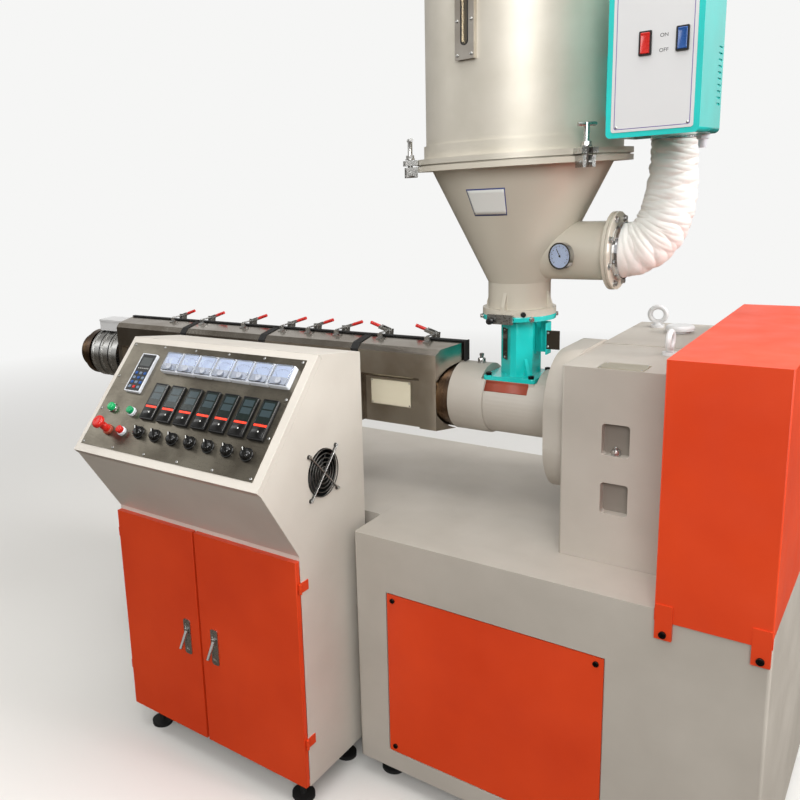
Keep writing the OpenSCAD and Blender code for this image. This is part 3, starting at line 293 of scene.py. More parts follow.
# The dials are no lamps, so their faint glow is painted light.
PAINTED_DIAL_GLOW = dict(Emission_Color="#DCE6F8", Emission_Strength=0.18)
DIAL_FACE_PAINTED_GLOW = plastic("pale_blue_dial_painted_glow", "#DCE6F8", 0.4, 0.0, **PAINTED_DIAL_GLOW)
PLATE_FILM = plastic("cream_printed_film", "#E2DAC2", 0.36, 0.01)
CREAM_FILM = plastic("white_printed_film", "#E9EAE6", 0.32, 0.01)
VIOLET_LINE = plastic("violet_printed_line", "#6A5C9C", 0.4, 0.0)
KEY_GREY = plastic("grey_moulded_plastic", "#6F7F92", 0.35, 0.01)
BOSS_GREY = plastic("pale_grey_plastic", "#B4B8C2", 0.35, 0.01)
GLOSS_BLACK = plastic("gloss_black_plastic", "#111111", 0.18, 0.004, 6)
BLUE_PRINT = plastic("dark_blue_print", "#3B4682", 0.4, 0.0)
RUST_PLATE = plastic("rust_red_plate", "#9C4530", 0.45, 0.02)
LAMP_GLOW = dict(Emission_Color="#10A860", Emission_Strength=0.12)
GREEN_LAMP = plastic("green_lamp_lens", "#0FA05C", 0.16, 0.01, **LAMP_GLOW)
CLEAR_COVER = clear("clear_polycarbonate", "#F2F5FB", 0.06)
WINDOW_GLASS = clear("sight_glass", "#B9B4A6", 0.04)
BLACK_PLASTIC, WHITE_PLASTIC = PLASTICS["black_plastic"], PLASTICS["white_plastic"]
RED_PLASTIC = PLASTICS["red_plastic"]
print("finishes:", len(bpy.data.materials))

# %% [markdown]
# Each solid names its finish in the record, so a loop hands them all out. Two solids differ
# from their slot: the console plate is brushed stainless in a darker tone than the covers,
# which is painted shade, and the hopper's barrel is pale stainless sheet.

# %% Finishes onto the solids
FINISH = {**PAINTS, **METALS, **PLASTICS}
for row in frame["record"]["subparts"]:
    node = NODES[row["node"]]
    node.data.materials.clear()
    node.data.materials.append(FINISH[row["material_slot"]])
NODES["console_plate"].data.materials[0] = CONSOLE_STEEL_PAINTED_SHADE
NODES["hopper_barrel"].data.materials[0] = HOPPER_STEEL

# %% [markdown]
# Bent sheet and cast iron have no knife edges. A small bevel rounds each edge of the
# solids, so that it catches the light. It is kept off the fine nodes, whose edges are
# already smaller than the bevel.

# %% Rounded edges
EDGE_MM = {
    "base_rear": 1.5, "base_front": 1.5, "gearbox": 2, "output_housing": 3, "feed_housing": 1,
    "belt_guard": 1.2, "access_panels": 0.8, "covers_near": 0.6, "covers_far": 0.6,
    "hopper_stand": 0.9, "dryer_box": 0.8, "cabinet_sides": 0.5, "console_hood": 0.9,
    "door_left": 0.7, "door_right": 0.7, "slide_gate": 0.6, "hopper_clamps": 0.6,
    "toggle_clamps": 0.4, "latch_left": 0.5, "latch_right": 0.5, "terminal_boxes": 0.8,
}


def rounded(node, width):
    """Welds a solid's split corners and bevels its edges sharper than 35 degrees."""
    weld = node.modifiers.new("weld", "WELD")
    weld.merge_threshold = 0.01 * MM
    bevel = node.modifiers.new("bevel", "BEVEL")
    bevel.width = width * MM
    bevel.segments = 2
    bevel.limit_method = "ANGLE"
    bevel.angle_limit = math.radians(35)
    bevel.use_clamp_overlap = True
    bevel.harden_normals = True


for name, width in EDGE_MM.items():
    rounded(NODES[name], width)
print("rounded solids:", len(EDGE_MM))

# %% [markdown]
# ## Shapes from rings
# Every small part here is a loft: a stack of closed rings, each an outline at a height,
# joined by quads and capped at both ends. All outlines have the same number of points, so
# a round head can turn into a hexagon socket and a square case into a domed lid.

# %% Rings and lofts
POINTS = 32


def rim(width, height=None, corner=None):
    """Rounded rectangle about the origin. Each point sits on its corner's quarter circle, and
    a corner of half the width makes the whole outline a circle."""
    height = width if height is None else height
    corner = min(width, height) / 2 if corner is None else max(corner, 0.01)
    step = np.arange(POINTS)
    quarter = step // (POINTS // 4)
    angle = (step - quarter) / (POINTS - 4) * 2 * np.pi
    signs = np.array([(1, 1), (-1, 1), (-1, -1), (1, -1)])[quarter]
    centre = signs * (np.array((width, height)) / 2 - corner)
    return centre + corner * np.stack([np.cos(angle), np.sin(angle)], 1)


def hexagon(across):
    """Hexagon by its size across flats: radius = (across/2) / cos(angle from the flat's middle)."""
    angle = np.angle(rim(2) @ np.array((1, 1j)))
    off = (angle + np.pi / 6) % (np.pi / 3) - np.pi / 6
    radius = across / 2 / np.cos(off)
    return radius[:, None] * np.stack([np.cos(angle), np.sin(angle)], 1)


def loft(*rings, closed=False):
    """Solid through (outline, height) rings, from its hidden end to its outer end. A closed
    one joins its last ring to its first, like a frame, and the others get two caps."""
    points = [np.column_stack([ring, np.full(len(ring), z)]) for ring, z in rings]
    i, count = np.arange(POINTS), len(rings) * POINTS
    j = (i + 1) % POINTS
    low = (np.arange(len(rings) if closed else len(rings) - 1) * POINTS)[:, None]
    high = (low + POINTS) % count
    sides = np.stack([low + i, low + j, high + j, high + i], 2).reshape(-1, 4).tolist()
    caps = [] if closed else [i[::-1].tolist(), (count - POINTS + i).tolist()]
    return np.concatenate(points), caps + sides


def turned(*profile):
    """Loft of circles from (radius, height) pairs."""
    return loft(*[(rim(2 * max(r, 0.01)), z) for r, z in profile])


def block(width, height, corner, *profile):
    """Loft of one rounded rectangle from (inset, height) pairs. The corner shrinks with it."""
    return loft(*[(rim(width - 2 * d, height - 2 * d, corner - d), z) for d, z in profile])


def plate(width, height, corner, thick):
    """Flat rounded rectangle of one thickness."""
    return block(width, height, corner, (0, 0), (0, thick))


def frame_of(outer, inner, height):
    """Closed frame between two rounded rectangles, each (width, height, corner)."""
    big, small = rim(*outer), rim(*inner)
    return loft((big, 0), (big, height), (small, height), (small, 0), closed=True)


print("one circle of radius 10 has", len(turned((10, 0), (10, 1))[0]) // 2, "points")

# %% [markdown]
# Screw heads come from the same lofts. A socket could be cut with a boolean, but a top ring
# that turns inwards into a hexagon gives it with clean faces.

# %% Screw heads


def socket_screw(r, h):
    """Cap screw: a round head with a chamfer of a tenth of its radius, or of 0.4 of a low
    head's height, whose top turns inwards into a hexagon socket."""
    chamfer = min(0.1 * r, 0.4 * h)
    socket = (hexagon(r), h), (hexagon(r), h * 0.45)
    return loft((rim(2 * r), 0), (rim(2 * r), h - chamfer), (rim(1.8 * r), h), *socket)


def hex_bolt(across, h, washer):
    """Hexagon head over a round washer, with the head's corners chamfered to a circle."""
    low = 0.12 * across
    rings = [(rim(2 * washer), 0), (rim(2 * washer), low), (hexagon(across), low)]
    top = (hexagon(across), low + 0.85 * h), (rim(across * 0.95), low + h)
    return loft(*rings, *top)


def pan_screw(r, h):
    """Pan head: a quarter-ellipse profile over a short wall, with a small socket."""
    a = np.linspace(0, 0.38 * np.pi, 5)
    dome = [(rim(2 * r * np.cos(t)), h * (0.35 + 0.65 * np.sin(t))) for t in a]
    return loft((rim(2 * r), 0), *dome, (hexagon(0.6 * r), h * 0.96), (hexagon(0.6 * r), h * 0.5))


print("a bolt head has", len(hex_bolt(10, 6, 7)[1]), "faces")

# %% [markdown]
# ## Placing shapes
# Shapes are drawn at the origin and then laid out in the machine's own millimetres. MID is
# the layout's point that the frame has as its origin. Every finished piece is one mesh that
# holds its place in its points, and it rides a body, so that it moves when that body does.

# %% Spots and pieces
MID = np.array((-285.0, 255.5, 0.0))
FRONT, BACK = (0, -1, 0), (0, 1, 0)
UP, DOWN, RIGHT = (0, 0, 1), (0, 0, -1), (1, 0, 0)


def spot(origin, out, up=UP, spin=0.0):
    """4x4 matrix in millimetres. Its columns are right, up, out and the origin, where right is
    up x out, and right and up are then turned by spin degrees about out."""
    out = Vector(out).normalized()
    right = Vector(up).cross(out).normalized()
    turn = Matrix((right, out.cross(right), out)).transposed().to_4x4()
    spun = Matrix.Rotation(math.radians(spin), 4, "Z")
    return np.array(Matrix.Translation(origin) @ turn @ spun)


def above(base, x=0.0, y=0.0, z=0.0, turn=0.0):
    """A spot moved within another spot's own right, up and out, and turned about out."""
    c, s = math.cos(math.radians(turn)), math.sin(math.radians(turn))
    return base @ np.array([[c, -s, 0, x], [s, c, 0, y], [0, 0, 1, z], [0, 0, 0, 1]])


def at(shape, *spots):
    """Copies of a shape, one at each spot, as one list of points and faces."""
    points, faces = shape
    flat = np.column_stack([points, np.ones(len(points))])
    moved = [(flat @ matrix.T)[:, :3] for matrix in spots]
    shifted = [[v + k * len(points) for v in face] for k in range(len(spots)) for face in faces]
    return np.concatenate(moved), shifted


def raised(shape, spots, x=0.0, y=0.0, z=0.0):
    """Copies of a shape, one at each spot, all moved alike within their spots."""
    return at(shape, *[above(base, x, y, z) for base in spots])


def piece(name, material, *shapes, rides="machine", smooth=40):
    """One mesh object out of placed shapes. Layout millimetres become metres of the frame, and
    edges sharper than the smooth angle stay crisp."""
    points, faces, count = [], [], 0
    for some, quads in shapes:
        points.append(some)
        faces += [[v + count for v in quad] for quad in quads]
        count += len(some)
    points = (np.concatenate(points) - MID) * MM
    mesh = bpy.data.meshes.new(name)
    mesh.from_pydata(points.tolist(), [], faces)
    mesh.shade_smooth()
    mesh.set_sharp_from_angle(angle=math.radians(smooth))
    mesh.materials.append(material)
    made = bpy.data.objects.new(name, mesh)
    bpy.context.collection.objects.link(made)
    print(name, "has", len(faces), "faces")
    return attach(made, rides)


print("layout origin of the frame:", MID)

# %% [markdown]
# ## Fixings of the base and the drive end
# Dark socket screws hold the access panels and the orange guard. Each blank nameplate sits on
# four small rivets. They could be painted on, but heads that stand up catch the light. One
# shape is copied to every spot, because all screws of a kind are alike.

# %% Screws on panels and guard
PANEL_CORNERS = [(x, z) for x in (121, 677) for z in (138, 602)]
PANEL_SCREWS = [spot((x, 0.7, z), FRONT) for x, z in PANEL_CORNERS]
REAR_SCREWS = [spot((x, 899.3, z), BACK) for x, z in PANEL_CORNERS]
GUARD_SCREWS = [spot((x, -10, 731), FRONT) for x in (821, 1010)]
DARK_STEEL = metal("blackened_screw_steel", "#2E2D2C", "#242322", (0.3, 0.45), EVEN, 2)
BRIGHT = METALS["zinc_steel"]
panel_heads = at(socket_screw(7, 5), *PANEL_SCREWS), at(socket_screw(7, 0.7), *REAR_SCREWS)
piece("panel_screws", DARK_STEEL, *panel_heads)
piece("guard_screws", DARK_STEEL, at(socket_screw(8, 6), *GUARD_SCREWS))

# %% Rivets of the nameplates


def corners(low, high, inset):
    """The four corners of a rectangle, moved inwards."""
    firsts, seconds = (low[0] + inset, high[0] - inset), (low[1] + inset, high[1] - inset)
    return [(a, b) for a in firsts for b in seconds]


rivets = [spot((x, y, 1286.8), UP, BACK) for x, y in corners((606, 172), (712, 238), 6)]
rivets += [spot((x, 327.2, z), FRONT) for x, z in corners((-136, 1070), (8, 1153), 6)]
piece("plate_rivets", BRIGHT, at(turned((2.6, 0), (2.4, 0.8), (1.4, 1.4)), *rivets))

# %% [markdown]
# ## The bare strip on the feed housing
# A rust-red strip of bare casting shows below the teal stand's plate. It could be a second
# material on the housing, but a solid of the frame is left as it came. So a thin surface
# follows the round housing, y = centre - sqrt(r^2 - (z - centre)^2), and runs back no
# further than the flat above it.

# %% Surfaces from formulas


def sheet(name, material, points, thick=0.0):
    """Grid surface from an array of rows and columns of millimetre points. Its normals follow
    row direction x column direction. A thickness gives it a solid edge."""
    rows, cols = points.shape[:2]
    start = (np.arange(rows - 1)[:, None] * cols + np.arange(cols - 1)).ravel()
    quads = np.stack([start, start + cols, start + cols + 1, start + 1], 1)
    made = piece(name, material, (points.reshape(-1, 3), quads.tolist()), smooth=60)
    if thick:
        solid = made.modifiers.new("thickness", "SOLIDIFY")
        solid.thickness = thick * MM
        solid.offset = 1
    return made


AXIS_Y, AXIS_Z, HOUSING_R, FLAT_Y = 410, 1113, 97.9, 334.6
strip_z, strip_x = np.meshgrid(np.linspace(1154, 1183.4, 12), np.linspace(247, 372, 2))
strip_y = AXIS_Y - np.sqrt(HOUSING_R**2 - (strip_z - AXIS_Z) ** 2)
strip = np.stack([strip_x, np.minimum(strip_y, FLAT_Y), strip_z], 2)
sheet("bare_casting_strip", RUST_PLATE, strip, 0.4)

# %% [markdown]
# ## Gearbox pockets, plate film and small screws
# Two pockets are sunk in the gearbox face, and a nut stands on the upper one's floor. Their
# backs get a thin plate of darker grey, which is painted shade for the recess. The
# cover's blank plate wears a cream film. Both are plain plates that lie on the solids.

# %% Painted shade in the pockets, nut and film
# The darker grey plates in the pockets are painted shade.
POCKET_PAINTED_SHADE = paint("painted_shade_grey", "#8D857C", "#7F776E", (0.4, 0.5))
backs = [spot((655.5, 192, z), FRONT) for z in (1108.5, 957.5)]
piece("pocket_painted_shade", POCKET_PAINTED_SHADE, at(plate(64, 80, 7.5, 0.6), *backs))
washer_and_flats = (rim(22), 0), (rim(22), 2), (hexagon(18), 2), (hexagon(18), 13)
stud = (rim(16), 14.5), (rim(9), 14.5), (rim(9), 21), (rim(7), 22)
piece("pocket_nut", BRIGHT, at(loft(*washer_and_flats, *stud), spot((654, 179.5, 1068), UP, BACK)))
film_spot = spot((-64, 327.2, 1111.5), FRONT)
piece("cover_plate_film", PLATE_FILM, at(plate(139, 78, 2, 0.2), film_spot))

# %% Screws of the stand and the sight strip
HOPPER = (312, 410)
stand_screws = [
    spot((HOPPER[0] + a, HOPPER[1] + b, 1196), UP, BACK) for a in (-62, 62) for b in (-62, 62)
]
piece("stand_screws", DARK_STEEL, at(socket_screw(8, 8), *stand_screws))
SIGHT_OUT, SIGHT_FOOT = np.array((-0.711, -0.703, 0)), np.array((286.9, 378.8, 0))
small = [spot(SIGHT_FOOT + SIGHT_OUT * 2.8 + (0, 0, z), SIGHT_OUT) for z in (1246, 1324)]
small += [spot((398, 406, z), FRONT) for z in (1279, 1318)]
piece("strip_screws", BRIGHT, at(pan_screw(3.2, 2), *small))

# %% [markdown]
# ## The slide gate and its flange
# A thumb screw clamps the gate, four bolts hold the flange, and the gate is drawn out by a
# knob. The knob is a turned profile that rides the gate's body. Fixed to the machine, it
# would stay behind when the gate moves.

# %% Thumb screw, flange bolts and gate knob
FLANGE_R = 99


def ring_spots(height, azimuths):
    """Spots on the flange's rim at those azimuths in degrees, facing outwards."""
    turns = [math.radians(azimuth) for azimuth in azimuths]
    outs = [np.array((math.cos(a), math.sin(a), 0)) for a in turns]
    return [spot(np.array((*HOPPER, height)) + FLANGE_R * out, out) for out in outs]


thumb = turned((3, 0), (3, 5), (7, 6), (7, 14), (6, 15))
piece("thumb_screw", BLACK_PLASTIC, at(thumb, *ring_spots(1381, [-62])))
flange_bolts = ring_spots(1365, (-48, 30, 120, 210))
piece("flange_screws", BRIGHT, at(hex_bolt(10, 6, 7), *flange_bolts))
gate_knob = turned((4, 0), (4, 4), (9, 6), (9.5, 10), (9, 14), (6, 15.5))
piece("gate_knobs", BLACK_PLASTIC, at(gate_knob, spot((275, 305, 1361), FRONT)), rides="gate")

# %% [markdown]
# ## The hopper's window and thermometer
# A long glass in a screwed frame shows how full the hopper is. The frame is a solid already,
# so only the glass, its seal and the screws are added, all on one radius of the hopper.

# %% Window
WINDOW_AZ = -98.5
WINDOW_OUT = np.array((math.cos(math.radians(WINDOW_AZ)), math.sin(math.radians(WINDOW_AZ)), 0))
WINDOW_SIDE = np.array((-WINDOW_OUT[1], WINDOW_OUT[0], 0))
WINDOW_MID = np.array((*HOPPER, 2169.0))
GLASS_R, FRAME_R = 256.3, 264
glass = block(15.6, 189, 7.8, (0, 0), (0, 5), (0.6, 5.6))
glass_spot = spot(WINDOW_MID + GLASS_R * WINDOW_OUT, WINDOW_OUT)
piece("window_glass", WINDOW_GLASS, at(glass, glass_spot))
frame_face = WINDOW_MID + FRAME_R * WINDOW_OUT
on_frame = [
    frame_face + a * WINDOW_SIDE + (0, 0, b) for a in (-20, 20) for b in (-120, -40, 40, 120)
]
piece("window_screws", BRIGHT, at(pan_screw(4, 2.6), *[spot(p, WINDOW_OUT) for p in on_frame]))
seal = frame_of((22, 196, 11), (17, 191, 8.5), 0.8)
piece("window_seal", PLASTICS["black_rubber"], at(seal, spot(frame_face, WINDOW_OUT)))

# %% [markdown]
# The thermometer is a round dial behind a glass. An image could carry its scale, but marks
# that are thin solids stay sharp from any distance. Each stands on the dial's own spot,
# where x is right, y is up and z is out.

# %% Thermometer
DIAL = spot((464, 333, 1540), (-0.342, -0.94, 0))


def scale_marks(base, radius, length, angles, z, width):
    """Short radial marks of a dial at those angles, clockwise from the top."""
    turns = [(math.radians(angle), -angle) for angle in angles]
    places = [above(base, radius * math.sin(a), radius * math.cos(a), z, t) for a, t in turns]
    return at(plate(width, length, 0.1, 0.25), *places)


# The dial face has a faint painted glow.
piece("thermometer_face", DIAL_FACE_PAINTED_GLOW, at(turned((30.8, 0), (30.8, 0.4)), above(DIAL, z=18.1)))
long_marks = scale_marks(DIAL, 25, 5, range(-135, 136, 27), 18.5, 1)
short_marks = scale_marks(DIAL, 26, 3, range(-135, 136, 9), 18.5, 0.5)
hand = at(loft((rim(2.2, 26, 0.4), 0), (rim(1.0, 25, 0.4), 0.5)), above(DIAL, -4, 7, 18.6, 30))
hub = at(turned((3, 0), (2.4, 0.9)), above(DIAL, z=18.6))
piece("thermometer_marks", DARK_STEEL, long_marks, short_marks, hand, hub)
dial_glass = turned((31, 0), (31, 0.5), (24, 0.9))
piece("thermometer_glass", CLEAR_COVER, at(dial_glass, above(DIAL, z=19.3)))

# %% [markdown]
# ## The hot air hose
# The hose is insulated with loose cloth. Its surface is a tube about a Bezier curve whose
# radius is pulled in by creases. Each crease runs round the tube, and its place along the
# hose wanders with the angle, so that the folds slant and meet. A bump map could not show
# them on the hose's outline, so they are real shape.

# %% The hose's middle line
CURVE = np.array([(577.3, 410, 1546), (637.3, 410, 1546), (688, 450, 1576), (688, 450, 1734.7)])
HOSE_TOP, STRAIGHT = 1834.7, 0.45
HOSE_STEPS, HOSE_SIDES, HOSE_RADII = 260, 96, (71.8, 51.8)


def hose_line(t):
    """Cubic Bezier sum of B_k(t) P_k up to t = 1, then straight up to the heater."""
    a, rise = np.clip(t, 0, 1)[:, None], np.clip(t - 1, 0, None)
    weights = np.hstack([(1 - a) ** 3, 3 * a * (1 - a) ** 2, 3 * a**2 * (1 - a), a**3])
    line = weights @ CURVE
    line[:, 2] += rise / STRAIGHT * (HOSE_TOP - CURVE[3, 2])
    return line


line = hose_line(np.linspace(0, 1 + STRAIGHT, HOSE_STEPS))
along = np.concatenate([[0], np.cumsum(np.linalg.norm(np.diff(line, axis=0), axis=1))])
print("hose length mm:", round(float(along[-1]), 1))

# %% Creases
# Each fold has its pitch, tilt, wave number, phase and depth, in millimetres and radians.
FOLDS = (
    (31, 0.9, 2, 0.4, 5.0), (47, -1.3, 1, 2.1, 4.0),
    (19, 0.7, 3, 1.2, 3.0), (12.5, 1.7, 2, 3.3, 1.6),
)


def creases(s, angle):
    """Depth of the folds: a sum of sharp valleys 1 - |sin|^0.6 along the length s, each with
    its own pitch and its own wander round the hose."""
    depth = np.zeros(np.broadcast(s, angle).shape)
    for pitch, tilt, wave, phase, size in FOLDS:
        wander = tilt * np.sin(wave * angle + phase + s / 90)
        valley = 1 - np.abs(np.sin(np.pi * s / pitch + wander)) ** 0.6
        patch = 0.5 + 0.5 * np.sin(angle * (wave + 1) + s / 27 + 2 * phase)
        depth += size * valley * patch
    return depth


angle = np.linspace(0, 2 * np.pi, HOSE_SIDES + 1)
smooth_radius = np.interp(along, (0, along[-1]), HOSE_RADII)[:, None]
radius = smooth_radius - creases(along[:, None], angle[None, :])
print("hose radius mm:", round(float(radius.min()), 1), "to", round(float(radius.max()), 1))

# %% Hose cloth
BEND_SIDE = (0.36, -0.93, 0.0)


def cloth(name, colour, shade):
    """Coated glass cloth: tone drifts over 60 mm, with a 1.6 mm weave and 9 mm puckers."""
    material, tree, shader = new_material(name, Roughness=0.62, Sheen_Weight=0.2)
    tone = ramp(tree, grain(tree, 60, detail=4), (0.3, shade), (0.7, colour))
    tree.links.new(tone, shader.inputs["Base Color"])
    relief(tree, shader, (grain(tree, 1.6, detail=0), 0.06), (grain(tree, 9, detail=2), 0.5))
    return material


way = np.gradient(line, axis=0)
way /= np.linalg.norm(way, axis=1)[:, None]
across = np.cross(way, BEND_SIDE)
across /= np.linalg.norm(across, axis=1)[:, None]
over = np.cross(across, way)
ring = across[:, None] * np.cos(angle)[:, None] + over[:, None] * np.sin(angle)[:, None]
insulation = cloth("white_insulation_cloth", "#F2F1ED", "#E2DFD8")
hose = sheet("hose_cloth", insulation, line[:, None] + ring * radius[..., None])
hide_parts("hot_air_elbow")

# %% Flange and clamps of the hose
DISC = spot((570.4, 410, 1546), RIGHT)
disc = turned((100, 0), (101, 1), (101, 6), (100, 7))
piece("hose_flange", PAINTS["hopper_paint"], at(disc, DISC))
turns = np.arange(8) * math.pi / 4 + 0.39
bolt_ring = [above(DISC, 88 * math.cos(a), 88 * math.sin(a), 7.0) for a in turns]
piece("hose_flange_bolts", BRIGHT, at(hex_bolt(13, 6, 9), *bolt_ring))
BAND, NARROWER = ((71, 0), (73.4, 0), (73.4, 12), (71, 12)), 38
low_band = loft(*[(rim(2 * r), z) for r, z in BAND], closed=True)
high_band = loft(*[(rim(2 * r - NARROWER), z) for r, z in BAND], closed=True)
piece("hose_bands", METALS["dial_steel"],
      at(low_band, spot((581, 410, 1546), RIGHT)),
      at(high_band, spot((688, 450, 1818), UP, BACK)))

# %% [markdown]
# ## The label on the cone
# A bare printed label bends round the cone. A flat plate would stand off it, so both layers
# are patches of the cone itself: a blue one for the border, and a smaller white one over it.

# %% Label
LABEL_MID_AZ, LABEL_MID_Z = np.radians(-93), 1687.5
CONE_LOW, CONE_HIGH = (84, 1462), (236, 1776)


def cone_patch(azimuth, z, lift):
    """Points of the cone at those azimuths and heights, lifted off it. Its radius grows
    evenly with height between two (radius, height) pairs."""
    (low_r, low_z), (high_r, high_z) = CONE_LOW, CONE_HIGH
    r = low_r + (high_r - low_r) * (z - low_z) / (high_z - low_z) + lift
    return np.stack([HOPPER[0] + r * np.cos(azimuth), HOPPER[1] + r * np.sin(azimuth), z], 2)


label_az, label_z = np.meshgrid(np.radians(np.linspace(-108, -78, 24)), np.linspace(1723, 1652, 8))
sheet("label_border", BLUE_PRINT, cone_patch(label_az, label_z, 0.4), 0.3)
inner_az = LABEL_MID_AZ + (label_az - LABEL_MID_AZ) * 0.95
inner_z = LABEL_MID_Z + (label_z - LABEL_MID_Z) * 0.9
sheet("label_film", CREAM_FILM, cone_patch(inner_az, inner_z, 0.8), 0.3)

# %% [markdown]
# ## The dryer's switch panel
# Two rockers, one red and one blue, sit in black frames on a white panel with a thin
# violet line round its edge. Words are text curves turned into meshes, so that they have a
# clean outline at any size.

# %% Rockers and their frames
PANEL = spot((699.5, 188.2, 2021), FRONT)
ROCKERS = [above(PANEL, x, -3.5) for x in (-17.5, 57.5)]
piece("panel_line", VIOLET_LINE, at(frame_of((158, 364, 5), (155, 361, 4), 0.25), PANEL))
piece("rocker_frames", BLACK_PLASTIC, at(frame_of((26, 51, 2.5), (19, 44, 1), 5.2), *ROCKERS))
foot, lip = (rim(18.6, 43.6, 1), 0), (rim(18.6, 43.6, 1), 3.2)
paddle = loft(foot, lip, (rim(17, 41, 2), 4.4), (rim(15, 34, 3), 3.6))
for name, finish, place in (("red", RED_PLASTIC, ROCKERS[0]), ("blue", BLUE_CAP, ROCKERS[1])):
    piece(f"{name}_rocker", finish, at(paddle, above(place, z=4.0)))

# %% Words


def letters(name, text, size, place, material):
    """Plain words as flat solid letters, centred on a spot. The curve's outline becomes a mesh."""
    curve = bpy.data.curves.new(name, "FONT")
    curve.body, curve.size, curve.extrude = text, size * MM, 0.05 * MM
    curve.align_x, curve.align_y = "CENTER", "CENTER"
    raw = bpy.data.objects.new(name, curve)
    mesh = bpy.data.meshes.new_from_object(raw)
    bpy.data.objects.remove(raw)
    local = np.array(place)
    local[:3, 3] = (local[:3, 3] - MID) * MM
    mesh.transform(Matrix(local))
    mesh.materials.clear()
    mesh.materials.append(material)
    made = bpy.data.objects.new(name, mesh)
    bpy.context.collection.objects.link(made)
    print(name, "has", len(mesh.polygons), "faces")
    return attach(made, "machine")


for word, y in (("ON", 12), ("OFF", -19)):
    letters(f"word_{word.lower()}", word, 11, above(PANEL, 20, y - 3.5, 0.1), DARK_STEEL)

# %% Rivets, cable gland and flange fitting
panel_rivets = [above(PANEL, x, y) for x, y in corners((-80, -183), (80, 183), 6)]
piece("panel_rivets", BRIGHT, at(turned((3, 0), (2.8, 0.8), (1.6, 1.5)), *panel_rivets))
gland_nut = at(hex_bolt(24, 9, 15), spot((770, 357, 1821), DOWN, BACK))
gland_tail = at(turned((9, 0), (9, 16), (7, 22), (5, 22)), spot((770, 357, 1812), DOWN, BACK))
piece("cable_gland", WHITE_PLASTIC, gland_nut, gland_tail)
plug = at(hex_bolt(20, 12, 12), spot((200, 410, 1215.6), UP, BACK))
stub = turned((5, 0), (5, 8), (6.5, 9), (6.5, 15), (5, 16))
piece("flange_fitting", BRIGHT, plug, at(stub, spot((200, 410, 1228), UP, BACK)))

# %% [markdown]
# ## The console
# Its instruments stand on a sloping plate. They could be laid out in the machine's axes, but
# a desk coordinate is simpler: u runs to the right along the lip, v up the slope and n
# outwards from the instruments' foot.

# %% Desk coordinates and screws
LIP = np.array((-741.0, -389.0, 1021.0))
RISE, RUN = 1318 - 1021, 343 + 142 - 201
SLOPE = math.atan2(RISE, RUN)
DESK_UP = np.array((0, math.cos(SLOPE), math.sin(SLOPE)))
DESK_OUT = np.array((0, -math.sin(SLOPE), math.cos(SLOPE)))
FOOT = 2.1


def desk(u, v, n=0.0, turn=0.0):
    """Spot on the console: the lip's corner plus u along it, v up the slope and n outwards."""
    place = LIP + (u, 0, 0) + v * DESK_UP + (n + FOOT) * DESK_OUT
    return spot(place, DESK_OUT, DESK_UP, turn)


ENDS_U, ENDS_V, SUNK = (27, 683), (33, 381), -0.4
edge_u, edge_v = np.linspace(*ENDS_U, 6), np.linspace(*ENDS_V, 4)[1:-1]
screws = [desk(u, v, SUNK) for v in ENDS_V for u in edge_u]
screws += [desk(u, v, SUNK) for u in ENDS_U for v in edge_v]
piece("console_screws", BRIGHT, at(pan_screw(4.2, 2.4), *screws))
print("slope of the console in degrees:", round(math.degrees(SLOPE), 1))

# %% [markdown]
# ## The fan's guard
# The guard's rings are a solid in dull steel. Two bright wires cross in front of them and end
# at the four screws. They are turned rods, each laid along one diagonal.

# %% Fan guard
FAN, FAN_SCREW = np.array((-22.7, -107.5, 990.0)), 62.2
GUARD_STEEL = metal("dull_guard_steel", "#6B6966", "#5C5A57", (0.4, 0.55), EVEN, 2)
NODES["fan_grille"].data.materials[0] = GUARD_STEEL
diagonals = [(0, math.cos(a), math.sin(a)) for a in np.radians((45, 135))]
wires = [spot(FAN + (7.4, 0, 0), diagonal, RIGHT) for diagonal in diagonals]
sides = (-FAN_SCREW, FAN_SCREW)
fan_screws = [spot(FAN + (6, y, z), RIGHT, UP) for y in sides for z in sides]
rod = turned((1.7, -93), (1.7, 93))
piece("guard_wires", BRIGHT, at(rod, *wires), at(pan_screw(5, 2.6), *fan_screws))

# %% [markdown]
# ## Ammeters
# Seven meters show the current of the heating zones. Each has a white case, a pale dial under
# a clear cover, and marks and a pointer that turn about a grey adjuster boss. The plain solid
# is replaced by a case with an open front, because a dial behind glass needs real depth.

# %% Ammeter cases and dials
COLUMNS, COLUMN, FIRST_U = range(7), 68.4, 235.5
AMMETERS = [desk(FIRST_U + COLUMN * i, 327) for i in COLUMNS]
PIVOT = -19
wall = (rim(67, 67, 5), 0), (rim(67, 67, 5), 13), (rim(65, 65, 5), 15)
mouth = (rim(58, 58, 3), 15), (rim(57, 57, 3), 13)
cases = piece("ammeter_cases", WHITE_PLASTIC, at(loft(*wall, *mouth), *AMMETERS),
              raised(plate(56, 23, 3, 1.2), AMMETERS, 0, -17, 14))
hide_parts("ammeters")
# The dials have a faint painted glow.
piece("ammeter_dials", DIAL_FACE_PAINTED_GLOW, raised(plate(56, 56, 3, 0.9), AMMETERS, z=13.1))
boss = turned((9.5, 0), (9.5, 7.6), (8.6, 8.6), (3, 8.6), (2.4, 7.8))
piece("ammeter_bosses", BOSS_GREY, raised(boss, AMMETERS, 0, PIVOT, 15))

